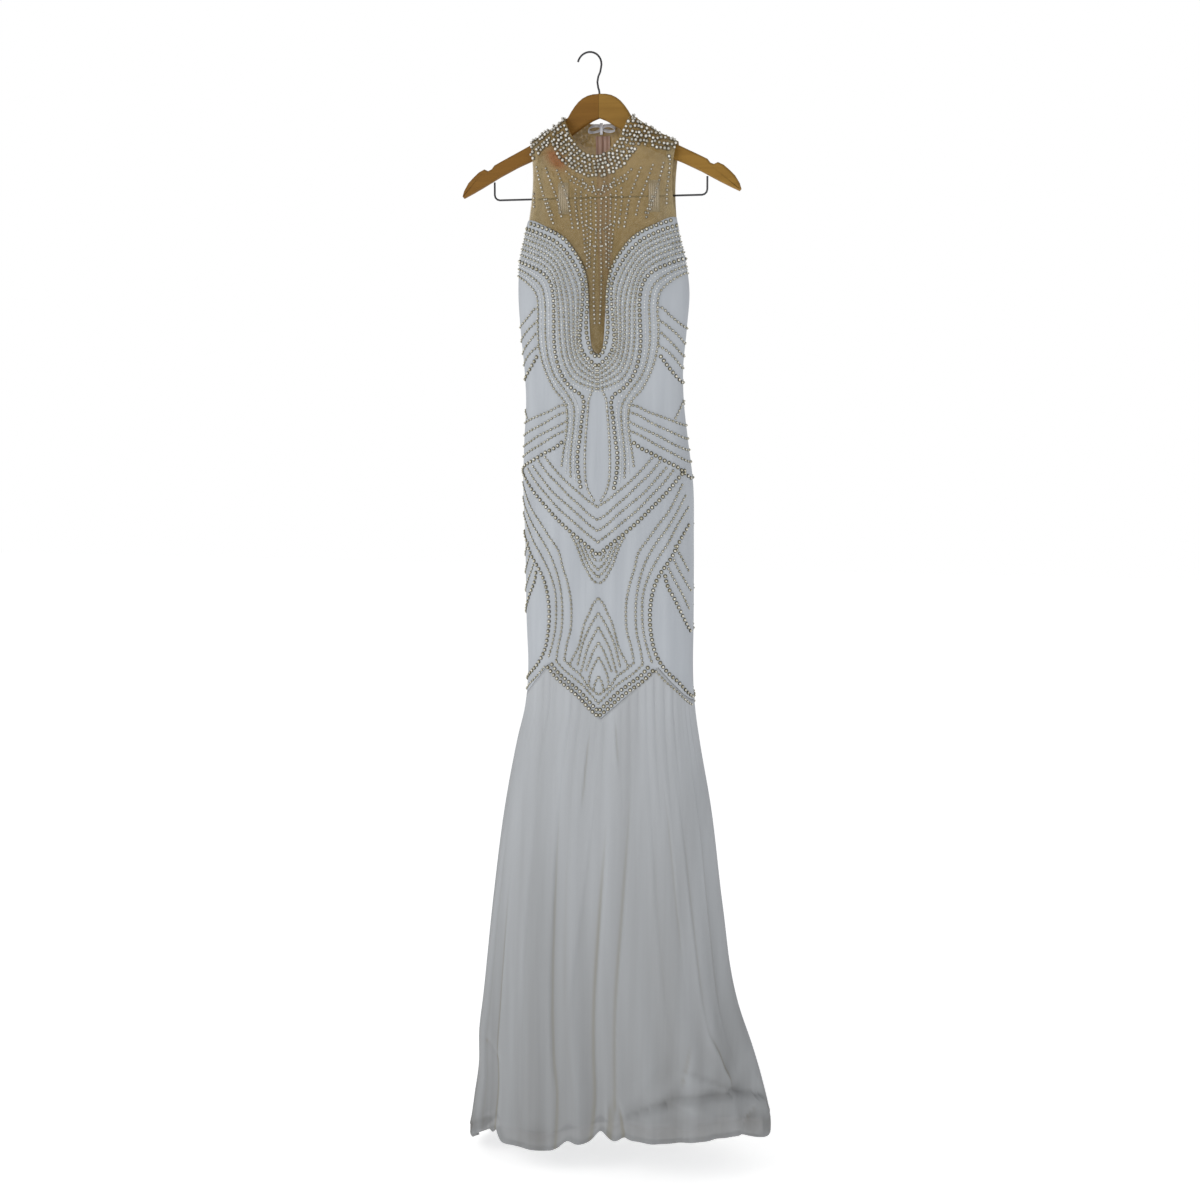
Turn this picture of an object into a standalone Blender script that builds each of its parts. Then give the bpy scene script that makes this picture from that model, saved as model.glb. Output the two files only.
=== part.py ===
# Mermaid dress hanging on a wooden hanger with a trouser bar.
# Metres, +Z up, +X to the right and -Y towards the front of the dress.
# The origin is the inside of the hook's crown, where a rail carries it.
# A "drop" is a distance below that origin, so a drop of 1.0 is z = -1.0.

import math

import bmesh
import bpy
import numpy as np
from mathutils import Vector
from mathutils.bvhtree import BVHTree

# Driving dimensions of the cloth
CLOTH = 0.0012
SEAM_GAP = 0.0003
LAYER_GAP = 0.0006
FRONT_CENTRE_X = 0.0195
SIDE_BOW = 0.35
SHOULDER_TURN = 0.020
NEAR_ONE = 0.999
NECK_HALF = 0.0525
NECK_FRONT_DROP = 0.1545
NECK_BACK_DROP = 0.1020
NECK_CURVE = 2.3
SHOULDER_LEFT = 0.1055
SHOULDER_RIGHT = 0.1215
UNDERARM_DROP = 0.268
ARMHOLE_BOW = 0.006
BACK_NECK_RISE = 0.030
BACK_EDGE_DROP = 0.460
BACK_EDGE_CORNER = (0.96, 0.258)
BACK_EDGE_CURVE = 1.4
SEAM_CENTRE_DROP = 1.010
SEAM_PEAK_DROP = 0.929
SEAM_SIDE_DROP = 0.985
SEAM_PEAK_ACROSS = 0.655
CUP_HEIGHT = 0.010
CUP_CENTRE = (0.068, 0.365)
CUP_SPREAD = (0.030, 0.040)

# Sections of the dress: drop, centre x, half width, front depth, back depth
SECTIONS = (
    (0.097, 0.0190, 0.1250, 0.0240, 0.0240),
    (0.140, 0.0240, 0.1250, 0.0250, 0.0250),
    (0.200, 0.0240, 0.1210, 0.0255, 0.0255),
    (0.247, 0.0205, 0.1195, 0.0260, 0.0260),
    (0.268, 0.0185, 0.1205, 0.0265, 0.0265),
    (0.307, 0.0190, 0.1295, 0.0290, 0.0285),
    (0.353, 0.0212, 0.1340, 0.0320, 0.0300),
    (0.414, 0.0210, 0.1305, 0.0345, 0.0315),
    (0.475, 0.0212, 0.1250, 0.0360, 0.0330),
    (0.520, 0.0230, 0.1245, 0.0380, 0.0350),
    (0.582, 0.0250, 0.1295, 0.0430, 0.0410),
    (0.644, 0.0280, 0.1345, 0.0490, 0.0480),
    (0.740, 0.0305, 0.1340, 0.0545, 0.0550),
    (0.864, 0.0315, 0.1335, 0.0570, 0.0590),
    (0.950, 0.0325, 0.1325, 0.0580, 0.0600),
    (1.000, 0.0320, 0.1360, 0.0620, 0.0630),
    (1.057, 0.0295, 0.1470, 0.0700, 0.0700),
    (1.155, 0.0285, 0.1655, 0.0810, 0.0800),
    (1.320, 0.0265, 0.1885, 0.0950, 0.0950),
    (1.488, 0.0285, 0.2130, 0.1060, 0.1080),
    (1.550, 0.0335, 0.2270, 0.1100, 0.1120),
    (1.606, 0.0395, 0.2350, 0.1130, 0.1160),
    (1.665, 0.0400, 0.2450, 0.1150, 0.1180),
    (1.750, 0.0290, 0.2470, 0.1170, 0.1200),
)

# Neckline of the white bodice: distance from the centre line, drop
NECKLINE = (
    (0.0000, 0.4510),
    (0.0055, 0.4420),
    (0.0105, 0.4200),
    (0.0127, 0.3850),
    (0.0145, 0.3520),
    (0.0205, 0.3250),
    (0.0325, 0.3010),
    (0.0430, 0.2860),
    (0.0485, 0.2795),
    (0.0525, 0.2755),
    (0.0675, 0.2660),
    (0.0860, 0.2570),
    (0.1040, 0.2485),
    (0.1147, 0.2470),
)
# The armhole corners lie a little right of the neckline's own centre line
CORNER_SHIFT = 0.0015
CORNER_DROPS = (0.247, 0.300)
# Two columns between the armhole corner and the side seam: angle, drop
UNDERARM_COLUMNS = ((79.0, 0.2530), (84.5, 0.2600))

# Where each column of the front bodice meets the skirt, as a share of the half width
SEAM_SHARES = (
    0.0, 0.055, 0.11, 0.165, 0.22, 0.28, 0.34, 0.40, 0.46, 0.52, 0.585, 0.655, 0.72, 0.80, 0.88, 0.95, 1.0
)
# Columns of the back, as shares of the half width, from the zip to the armhole and the side
BACK_SHARES = (0.0, 0.092, 0.20, 0.32, 0.40, 0.44, 0.55, 0.655, 0.77, 0.87, 0.96)
BACK_SIDE_SHARES = (0.985, 1.0)
NECK_COLUMNS_BACK = 5
YOKE_ROWS = (0.0, 0.015, 0.05, 0.11, 0.20, 0.32, 0.46, 0.62, 0.80, 1.0)
BODICE_ROWS = 15

# Skirt
PEAK_COLUMNS = 15
SIDE_COLUMNS = 13
GATHER_HEIGHT = 0.0024
GATHER_LENGTH = 0.16
GATHER_START = 0.020
SKIRT_ROWS = (0.0, 0.03, 0.09, 0.20, 0.36, 0.55, 0.76, 0.93, 1.0)
HEM_TUCK = ((0.010, 0.006), (0.011, 0.016))
UNDERSKIRT_GAP = 0.0060
UNDERSKIRT_TOP = 0.006
UNDERSKIRT_RISE = 0.030
UNDERSKIRT_COLUMNS = 36
UNDERSKIRT_ROWS = 7

FOLD_FULL_DROP = 1.70
FOLD_GROWTH = 1.3
# Deep folds: angle from the front centre, depth at the hem, half spread in degrees, drop where it starts
FOLDS = (
    (-97.0, 0.016, 7.0, 1.16),
    (-76.0, 0.013, 6.0, 1.12),
    (-57.0, 0.020, 6.5, 1.04),
    (-36.0, 0.012, 6.0, 1.20),
    (-19.0, 0.014, 5.0, 1.08),
    (-4.0, 0.026, 5.5, 1.02),
    (12.0, 0.012, 5.0, 1.10),
    (29.0, 0.017, 6.5, 1.14),
    (50.0, 0.013, 6.0, 1.24),
    (70.0, 0.017, 6.5, 1.06),
    (92.0, -0.013, 7.0, 1.40),
    (112.0, 0.017, 7.0, 1.10),
    (133.0, 0.014, 6.5, 1.18),
    (152.0, 0.020, 6.5, 1.05),
    (172.0, 0.014, 6.0, 1.16),
    (192.0, 0.022, 6.5, 1.03),
    (213.0, 0.013, 6.0, 1.20),
    (233.0, 0.018, 7.0, 1.08),
    (249.0, 0.011, 5.0, 1.22),
)

# Hem line: angle from the front centre, drop
HEM = (
    (-90.0, 1.735),
    (-76.0, 1.735),
    (-66.0, 1.712),
    (-54.0, 1.694),
    (-38.0, 1.708),
    (-22.0, 1.710),
    (-12.0, 1.700),
    (-4.0, 1.692),
    (6.0, 1.678),
    (24.0, 1.676),
    (44.0, 1.668),
    (62.0, 1.668),
    (78.0, 1.682),
    (84.0, 1.684),
    (90.0, 1.666),
    (112.0, 1.690),
    (138.0, 1.690),
    (160.0, 1.708),
    (182.0, 1.698),
    (206.0, 1.722),
    (232.0, 1.716),
    (254.0, 1.738),
    (270.0, 1.735),
)

# Zip in the back seam
ZIP_TOP_DROP = 0.1130
ZIP_END_DROP = 0.800
TAPE = 0.0007
LABEL_SIZE = (0.034, 0.0155, 0.0006)
LABEL_COLUMNS = 7
LABEL_DROP = 0.001
SLIDER_SIZE = (0.0056, 0.0022, 0.0082)
SLIDER_DROP = 0.1150
SLIDER_SHIFT = 0.0008
SLIDER_BEVEL = 0.0006
BAIL_WIRE = 0.0011
BAIL_INNER = 0.0017
BAIL_ROOT = 0.0008
BAIL_STEPS = 8
BAIL_SIDES = 8
PULL_SIZE = (0.0058, 0.0009, 0.0190)
PULL_WINDOW = (0.0024, 0.0052)
PULL_BAR = 0.0011
# Pivot above the slider's face: the bar's corners swing 0.71 mm out from it
PULL_LIFT = 0.00085
PULL_BEVEL = 0.0003

# Wooden hanger
HANGER_X = 0.0155
WOOD = 0.0120
WOOD_EDGE = 0.0042
WOOD_JOIN = 0.0003
# Rounded edge of the wood: turn in degrees, share of the edge radius kept
WOOD_ROUND = ((90.0, 0.75), (45.0, 1.0), (0.0, 1.0))
# Right half of the wood: distance from the join, drop, clockwise from the top of the join
WOOD_OUTLINE = (
    (0.0000, 0.0607),
    (0.0100, 0.0610),
    (0.0185, 0.0629),
    (0.0260, 0.0665),
    (0.0325, 0.0715),
    (0.0385, 0.0783),
    (0.0440, 0.0859),
    (0.0485, 0.0934),
    (0.0540, 0.1010),
    (0.0730, 0.1140),
    (0.0940, 0.1262),
    (0.1220, 0.1400),
    (0.1520, 0.1545),
    (0.1660, 0.1615),
    (0.1705, 0.1672),
    (0.1760, 0.1695),
    (0.1820, 0.1668),
    (0.1910, 0.1712),
    (0.2000, 0.1790),
    (0.2080, 0.1870),
    (0.2150, 0.1985),
    (0.2176, 0.2070),
    (0.2150, 0.2102),
    (0.2010, 0.2035),
    (0.1850, 0.1953),
    (0.1570, 0.1800),
    (0.1280, 0.1660),
    (0.1030, 0.1560),
    (0.0720, 0.1405),
    (0.0520, 0.1285),
    (0.0380, 0.1175),
    (0.0240, 0.1085),
    (0.0110, 0.1010),
    (0.0000, 0.0965),
)
SHOULDER_REST = 0.0054

# Wire fittings
HOOK_WIRE = 0.0030
HOOK_RADIUS = 0.0185
HOOK_TIP_ANGLE = 166.0
HOOK_END_ANGLE = -14.0
HOOK_STEPS = 15
# Swan neck below the loop: distance from the hook's centre line, drop
HOOK_NECK = ((0.0166, 0.0285), (0.0136, 0.0350), (0.0122, 0.0430), (0.0134, 0.0510), (0.0150, 0.0560))
BAR_WIRE = 0.0030
BAR_HALF = 0.1660
BAR_DROP = 0.2140
BAR_BEND = 0.0080
BAR_TOP_DROP = 0.1868
BAR_CORNER_STEPS = 3
CLIP_SIZE = (0.0170, 0.0085, 0.0470)
CLIP_PLACES = (-0.0560, 0.0850)
CLIP_BORE = 0.0020
CLIP_SLOT = 0.0012
CLIP_BRIDGE = 0.0080
CLIP_BEVEL = 0.0010
CLIP_OVERCUT = 0.0010

# Centre line of the pearl rows: drop, x
ROW_CENTRES = ((0.45, 0.0195), (0.60, 0.0220), (0.80, 0.0260), (1.02, 0.0275))
# Raised rows of large pearls: width, height, clearance over the cloth
ROW_WIDTH = 0.0050
ROW_HEIGHT = 0.0024
ROW_CLEAR = 0.0011
ROW_STEP = 0.0090
# Each row: distance from the centre line, drop
NECK_ROW = (
    (0.0000, 0.4735),
    (0.0120, 0.4680),
    (0.0200, 0.4540),
    (0.0230, 0.4300),
    (0.0235, 0.3750),
    (0.0260, 0.3420),
    (0.0330, 0.3200),
    (0.0430, 0.3040),
    (0.0560, 0.2880),
    (0.0750, 0.2750),
    (0.0950, 0.2640),
    (0.1060, 0.2600),
)
BUST_ROW = (
    (0.1140, 0.3120),
    (0.0980, 0.3200),
    (0.0840, 0.3310),
    (0.0730, 0.3440),
    (0.0680, 0.3600),
    (0.0670, 0.4000),
    (0.0665, 0.4340),
    (0.0620, 0.4620),
    (0.0530, 0.4860),
    (0.0400, 0.5030),
    (0.0230, 0.5190),
    (0.0245, 0.5550),
    (0.0285, 0.6000),
    (0.0280, 0.6350),
    (0.0245, 0.6600),
)
WAIST_ROW = ((0.0000, 0.7560), (0.0480, 0.7190), (0.0840, 0.6850), (0.1140, 0.6480))
HIP_ROW = (
    (0.1140, 0.7540),
    (0.0980, 0.7840),
    (0.0860, 0.8140),
    (0.0810, 0.8450),
    (0.0810, 0.8720),
    (0.0850, 0.8970),
    (0.0930, 0.9150),
    (0.1060, 0.9350),
)
SEAM_ROW = ((0.0000, 0.9960), (0.0270, 0.9700), (0.0760, 0.9270))

COLOURS = {
    "nude mesh": ((0.24, 0.16, 0.08), 0.75, 0.0),
    "white crepe": ((0.50, 0.53, 0.57), 0.70, 0.0),
    "white chiffon": ((0.42, 0.45, 0.48), 0.80, 0.0),
    "white lining": ((0.46, 0.48, 0.50), 0.70, 0.0),
    "zip tape": ((0.42, 0.27, 0.20), 0.80, 0.0),
    "label ribbon": ((0.66, 0.66, 0.66), 0.50, 0.0),
    "zip metal": ((0.60, 0.55, 0.45), 0.30, 1.0),
    "pearls": ((0.55, 0.50, 0.38), 0.25, 0.0),
    "dark wood": ((0.21, 0.11, 0.025), 0.35, 0.0),
    "light wood": ((0.30, 0.18, 0.07), 0.35, 0.0),
    "dark steel": ((0.06, 0.06, 0.07), 0.25, 1.0),
    "bright steel": ((0.62, 0.61, 0.58), 0.20, 1.0),
}


def clear_scene():
    for item in list(bpy.data.objects):
        bpy.data.objects.remove(item, do_unlink=True)


def material(name):
    found = bpy.data.materials.get(name)
    if found:
        return found
    colour, roughness, metallic = COLOURS[name]
    made = bpy.data.materials.new(name)
    made.use_nodes = True
    shader = made.node_tree.nodes["Principled BSDF"]
    shader.inputs["Base Color"].default_value = (*colour, 1.0)
    shader.inputs["Roughness"].default_value = roughness
    shader.inputs["Metallic"].default_value = metallic
    return made


def add_mesh(name, points, faces, finish, smooth_angle=40.0):
    mesh = bpy.data.meshes.new(name)
    mesh.from_pydata([tuple(map(float, p)) for p in points], [], faces)
    mesh.update()
    mesh.shade_smooth()
    mesh.set_sharp_from_angle(angle=math.radians(smooth_angle))
    mesh.materials.append(material(finish))
    item = bpy.data.objects.new(name, mesh)
    bpy.context.scene.collection.objects.link(item)
    return item


def smooth_read(at, knots, values):
    """Cubic Hermite curve through the knots, with slopes from the neighbours."""
    knots = np.asarray(knots, float)
    values = np.asarray(values, float)
    slopes = np.gradient(values, knots)
    low = np.clip(np.searchsorted(knots, at) - 1, 0, len(knots) - 2)
    step = knots[low + 1] - knots[low]
    t = np.clip((at - knots[low]) / step, 0.0, 1.0)
    rise = 3 * t**2 - 2 * t**3
    start = values[low] * (1 - rise) + slopes[low] * step * (t**3 - 2 * t**2 + t)
    return start + values[low + 1] * rise + slopes[low + 1] * step * (t**3 - t**2)


def section(drop):
    """Centre x, half width, front depth and back depth at a drop."""
    rows = np.array(SECTIONS)
    return [smooth_read(drop, rows[:, 0], rows[:, k]) for k in range(1, 5)]


def plain_point(angle, drop):
    """A flattened ring: x follows the sine, y the cosine, bowed out towards the sides."""
    centre, half, front, back = section(drop)
    depth = np.where(np.cos(angle) >= 0, front, back)
    x = centre + half * np.sin(angle)
    y = -depth * np.cos(angle) * (1 + SIDE_BOW * np.sin(angle) ** 2)
    return np.stack([x, y, -drop], axis=-1)


def plain_normal(angle, drop):
    """Outward unit normal of the plain ring, from small steps each way."""
    turn, fall = 1e-3, 1e-3
    along = plain_point(angle + turn, drop) - plain_point(angle - turn, drop)
    down = plain_point(angle, drop + fall) - plain_point(angle, drop - fall)
    normal = np.cross(down, along)
    return normal / np.linalg.norm(normal, axis=-1, keepdims=True)


def cup_height(angle, drop):
    """Two soft moulded cups on the front, each a bell in x and in drop."""
    x = plain_point(angle, drop)[..., 0] - FRONT_CENTRE_X
    across = (np.abs(x) - CUP_CENTRE[0]) / CUP_SPREAD[0]
    down = (drop - CUP_CENTRE[1]) / CUP_SPREAD[1]
    bell = np.exp(-0.5 * (across**2 + down**2))
    return CUP_HEIGHT * bell * (np.cos(angle) > 0) * np.clip(np.cos(angle), 0, 1) ** 0.5


def seam_drop(angle):
    """Dropped waist seam: a V at the centre, a peak above each thigh, lower at the sides."""
    across = np.abs(np.sin(angle))
    inner = SEAM_CENTRE_DROP + (SEAM_PEAK_DROP - SEAM_CENTRE_DROP) * across / SEAM_PEAK_ACROSS
    share = (across - SEAM_PEAK_ACROSS) / (1 - SEAM_PEAK_ACROSS)
    outer = SEAM_PEAK_DROP + (SEAM_SIDE_DROP - SEAM_PEAK_DROP) * share
    return np.where(across <= SEAM_PEAK_ACROSS, inner, outer)


def hem_drop(angle):
    """Hem line read round the ring from the table."""
    rows = np.array(HEM)
    turned = (np.degrees(angle) + 90.0) % 360.0 - 90.0
    return smooth_read(turned, rows[:, 0], rows[:, 1])


def fold_height(angle, drop):
    """Deep soft folds: each a bell in angle that deepens from its start to the hem."""
    turned = np.degrees(angle)
    height = np.zeros_like(turned + drop)
    for centre, depth, spread, start in FOLDS:
        off = (turned - centre + 180.0) % 360.0 - 180.0
        grown = np.clip((drop - start) / (FOLD_FULL_DROP - start), 0.0, 1.0) ** FOLD_GROWTH
        height -= depth * grown * np.exp(-0.5 * (off / spread) ** 2)
    return height


def gather_height(angle, drop, columns):
    """Small waves below the seam, four columns to a wave, fading downwards."""
    below = drop - seam_drop(angle)
    grown = np.clip(below / GATHER_START, 0.0, 1.0) * np.exp(-((below / GATHER_LENGTH) ** 2))
    return GATHER_HEIGHT * grown * np.cos(columns * math.pi / 2 + math.pi)


def body_point(angle, drop):
    """The bodice's outer face: the plain ring with its cups."""
    return plain_point(angle, drop) + plain_normal(angle, drop) * cup_height(angle, drop)[..., None]


def grid_normals(grid):
    down = np.gradient(grid, axis=0)
    along = np.gradient(grid, axis=1)
    normal = np.cross(down, along)
    return normal / np.linalg.norm(normal, axis=-1, keepdims=True)


def flatten_normals(normals, where, axis):
    """Seam edges face squarely away from the seam's plane, so that two walls never cross there."""
    normals[where + (axis,)] = 0.0
    normals[where] /= np.linalg.norm(normals[where], axis=-1, keepdims=True)


def wall(name, outer, normals, thickness, finish):
    """A closed wall: the outer grid, the same grid moved in, and four rims."""
    rows, columns = outer.shape[:2]
    inner = outer - normals * thickness
    points = np.concatenate([outer.reshape(-1, 3), inner.reshape(-1, 3)])
    back = rows * columns

    def at(i, j):
        return i * columns + j

    faces = []
    for i in range(rows - 1):
        for j in range(columns - 1):
            first, below, across, beside = at(i, j), at(i + 1, j), at(i + 1, j + 1), at(i, j + 1)
            faces.append((first, below, across, beside))
            faces.append((back + first, back + beside, back + across, back + below))
    for j in range(columns - 1):
        top, bottom = (at(0, j), at(0, j + 1)), (at(rows - 1, j), at(rows - 1, j + 1))
        faces.append((top[0], top[1], back + top[1], back + top[0]))
        faces.append((bottom[1], bottom[0], back + bottom[0], back + bottom[1]))
    for i in range(rows - 1):
        left, right = (at(i, 0), at(i + 1, 0)), (at(i, columns - 1), at(i + 1, columns - 1))
        faces.append((left[0], back + left[0], back + left[1], left[1]))
        faces.append((right[1], back + right[1], back + right[0], right[0]))
    return add_mesh(name, points, faces, finish)


def sweep(name, path, sides, ups, profile, finish):
    """A closed bar: the profile, given as (side, up) pairs, carried along the path."""
    ring = len(profile)
    points = [p + s * a + u * b for p, s, u in zip(path, sides, ups) for a, b in profile]
    faces = []
    for i in range(len(path) - 1):
        for k in range(ring):
            here, after = i * ring + k, i * ring + (k + 1) % ring
            faces.append((here, after, after + ring, here + ring))
    faces.append(tuple(reversed(range(ring))))
    faces.append(tuple(range((len(path) - 1) * ring, len(path) * ring)))
    return add_mesh(name, points, faces, finish)


def shoulder_drop(x):
    """The cloth rests just above the hanger's arms."""
    rows = np.array(WOOD_OUTLINE[8:13])
    return np.interp(np.abs(x - HANGER_X), rows[:, 0], rows[:, 1]) - SHOULDER_REST


def drape_top(x):
    """Drop where front and back would meet: the shoulder, and a dome over the open neck."""
    inside = np.clip(1 - ((x - HANGER_X) / NECK_HALF) ** 2, 0.0, 1.0)
    edge = shoulder_drop(np.where(np.abs(x - HANGER_X) < NECK_HALF, HANGER_X + NECK_HALF, x))
    return edge - BACK_NECK_RISE * inside


def yoke_point(x, drop, side):
    """Mesh yoke: the plain ring, drawn in over the shoulder along a quarter circle."""
    centre, half, front, back = section(drop)
    sine = np.clip((x - centre) / half, -NEAR_ONE, NEAR_ONE)
    cosine = np.sqrt(1 - sine**2)
    depth = np.where(side < 0, front, back)
    turn = np.clip((drop - drape_top(x)) / SHOULDER_TURN, 0.0, 1.0)
    y = side * depth * cosine * (1 + SIDE_BOW * sine**2) * np.sqrt(1 - (1 - turn) ** 2)
    return np.stack([x, y, -drop], axis=-1)


def shoulder_end(sign):
    return SHOULDER_RIGHT if sign > 0 else SHOULDER_LEFT


def armhole_pull(share, v):
    """The armhole edge bows a little towards the neck between the shoulder and the corner."""
    return ARMHOLE_BOW * share**3 * np.sin(math.pi * v)


def neck_front_drop(x):
    across = np.clip(np.abs(x - HANGER_X) / NECK_HALF, 0.0, 1.0)
    shoulder = shoulder_drop(HANGER_X + NECK_HALF)
    return NECK_FRONT_DROP + (shoulder - NECK_FRONT_DROP) * across**NECK_CURVE


def neck_back_drop(x):
    across = np.clip(np.abs(x - HANGER_X) / NECK_HALF, 0.0, 1.0)
    shoulder = shoulder_drop(HANGER_X + NECK_HALF)
    return shoulder + (NECK_BACK_DROP - shoulder) * (1 - across**2)


def front_edge(gap_side):
    """Front neckline columns from left to right: angle, drop, x. The gap lies along the surface."""
    half = np.array(NECKLINE)
    x = np.concatenate([-half[:0:-1, 0], half[:, 0]]) + FRONT_CENTRE_X
    drop = np.concatenate([half[:0:-1, 1], half[:, 1]])
    x = x + CORNER_SHIFT * np.interp(drop, CORNER_DROPS, (1.0, 0.0))
    slope_x, slope_d = np.gradient(x), np.gradient(drop)
    length = np.hypot(slope_x, slope_d)
    x = x - gap_side * SEAM_GAP / 2 * slope_d / length
    drop = drop + gap_side * SEAM_GAP / 2 * slope_x / length
    centre, width, _, _ = section(drop)
    return np.arcsin(np.clip((x - centre) / width, -NEAR_ONE, NEAR_ONE)), drop, x


def back_edge_drop(share):
    corner_share, corner_drop = BACK_EDGE_CORNER
    curve = BACK_EDGE_DROP - (BACK_EDGE_DROP - corner_drop) * (share / corner_share) ** BACK_EDGE_CURVE
    side = corner_drop + (UNDERARM_DROP - corner_drop) * (share - corner_share) / (1 - corner_share)
    return np.where(share <= corner_share, curve, side)


def edge_gap(x, drop):
    """Half a seam gap, measured downwards on an edge that slopes."""
    slope = np.gradient(drop) / np.gradient(x)
    return SEAM_GAP / 2 * np.sqrt(1 + slope**2)


def yoke_front():
    _, bottom, x_bottom = front_edge(-1)
    middle = len(NECKLINE) - 1
    half = np.array(NECKLINE)[:, 0]
    tops = []
    for k in range(-middle, middle + 1):
        out = half[abs(k)]
        sign = 1 if k >= 0 else -1
        if out <= NECK_HALF:
            tops.append(HANGER_X + sign * out)
        else:
            share = (out - NECK_HALF) / (half[-1] - NECK_HALF)
            tops.append(HANGER_X + sign * (NECK_HALF + (shoulder_end(sign) - NECK_HALF) * share))
    x_top = np.array(tops)
    on_neck = np.abs(x_top - HANGER_X) < NECK_HALF - 1e-6
    top = np.where(on_neck, neck_front_drop(x_top), shoulder_drop(x_top))
    v = np.array(YOKE_ROWS)[:, None]
    sign = np.sign(x_bottom - FRONT_CENTRE_X)
    share = np.clip(np.abs(x_bottom - FRONT_CENTRE_X) / half[-1], 0, 1)
    x = x_top + (x_bottom - x_top) * v - sign * armhole_pull(share, v)
    drop = top + (bottom - top) * v
    grid = yoke_point(x, drop, np.full_like(x, -1.0))
    shoulder = np.flatnonzero(~on_neck)
    grid[0, shoulder, 1] = -SEAM_GAP / 2
    normals = grid_normals(grid)
    flatten_normals(normals, (np.zeros_like(shoulder), shoulder), 1)
    flatten_normals(normals, (-1, slice(None)), 2)
    wall("yoke_front", grid, normals, CLOTH, "nude mesh")
    return grid, normals


def yoke_back(sign, name):
    """One half of the mesh back, from the zip out to the armhole."""
    share = np.array(BACK_SHARES)
    bottom = back_edge_drop(share)
    centre, width, _, _ = section(bottom)
    bottom = bottom - edge_gap(width * share, bottom)
    x_bottom = centre + sign * width * share
    neck_share = share[NECK_COLUMNS_BACK]
    inner = NECK_HALF * share / neck_share
    outer = (share - neck_share) / (share[-1] - neck_share)
    reach = np.where(share <= neck_share, inner, NECK_HALF + (shoulder_end(sign) - NECK_HALF) * outer)
    x_top = HANGER_X + sign * reach
    on_neck = reach < NECK_HALF - 1e-6
    top = np.where(on_neck, neck_back_drop(x_top), shoulder_drop(x_top))
    v = np.array(YOKE_ROWS)[:, None]
    x = x_top + (x_bottom - x_top) * v - sign * armhole_pull(share, v)
    x[:, 0] += sign * SEAM_GAP / 2
    drop = top + (bottom - top) * v
    grid = yoke_point(x, drop, np.full_like(x, 1.0))
    shoulder = np.flatnonzero(~on_neck)
    grid[0, shoulder, 1] = SEAM_GAP / 2
    if sign > 0:
        grid = grid[:, ::-1]
    normals = grid_normals(grid)
    columns = len(share)
    at = columns - 1 - shoulder if sign > 0 else shoulder
    flatten_normals(normals, (np.zeros_like(at), at), 1)
    seam = -1 if sign > 0 else 0
    flatten_normals(normals, (slice(None), seam), 0)
    flatten_normals(normals, (-1, slice(None)), 2)
    wall(name, grid, normals, CLOTH, "nude mesh")
    return grid, normals


def bodice_front():
    angle, top, _ = front_edge(1)
    outer = np.array(UNDERARM_COLUMNS)
    side_angle = np.radians(np.concatenate([outer[:, 0], [90.0]]))
    side_drop = np.concatenate([outer[:, 1], [UNDERARM_DROP]])
    angle_top = np.concatenate([-side_angle[::-1], angle, side_angle])
    drop_top = np.concatenate([side_drop[::-1], top, side_drop])
    shares = np.array(SEAM_SHARES)
    angle_bottom = np.arcsin(np.concatenate([-shares[:0:-1], shares]))
    drop_bottom = seam_drop(angle_bottom) - SEAM_GAP
    v = np.linspace(0.0, 1.0, BODICE_ROWS + 1)[:, None]
    turn = angle_top + (angle_bottom - angle_top) * v
    drop = drop_top + (drop_bottom - drop_top) * v
    grid = body_point(turn, drop)
    grid[:, 0, 1] = grid[:, -1, 1] = -SEAM_GAP / 2
    normals = grid_normals(grid)
    flatten_normals(normals, (slice(None), 0), 1)
    flatten_normals(normals, (slice(None), -1), 1)
    flatten_normals(normals, (0, slice(None)), 2)
    flatten_normals(normals, (-1, slice(None)), 2)
    return wall("bodice_front", grid, normals, CLOTH, "white crepe")


def bodice_back(sign, name):
    """One half of the white back, from the zip out to the side seam."""
    share = np.array(BACK_SHARES + BACK_SIDE_SHARES)
    top = back_edge_drop(share)
    top = top + edge_gap(section(top)[1] * share, top)
    turn_out = np.arcsin(share)
    bottom = seam_drop(turn_out) - SEAM_GAP
    v = np.linspace(0.0, 1.0, BODICE_ROWS + 1)[:, None]
    drop = top + (bottom - top) * v
    turn = np.broadcast_to(math.pi - sign * turn_out, drop.shape)
    grid = body_point(turn, drop).copy()
    grid[:, 0, 0] += sign * SEAM_GAP / 2
    grid[:, -1, 1] = SEAM_GAP / 2
    if sign > 0:
        grid = grid[:, ::-1]
    normals = grid_normals(grid)
    seam, side = (-1, 0) if sign > 0 else (0, -1)
    flatten_normals(normals, (slice(None), seam), 0)
    flatten_normals(normals, (slice(None), side), 1)
    flatten_normals(normals, (0, slice(None)), 2)
    flatten_normals(normals, (-1, slice(None)), 2)
    wall(name, grid, normals, CLOTH, "white crepe")
    return grid, normals


def skirt_angles():
    """Columns of a skirt half, closer between the centre and the seam's peaks."""
    peak = math.asin(SEAM_PEAK_ACROSS)
    inner = np.linspace(0.0, peak, PEAK_COLUMNS + 1)
    outer = np.linspace(peak, math.pi / 2, SIDE_COLUMNS + 1)[1:]
    half = np.concatenate([inner, outer])
    return np.concatenate([-half[:0:-1], half])


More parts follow.
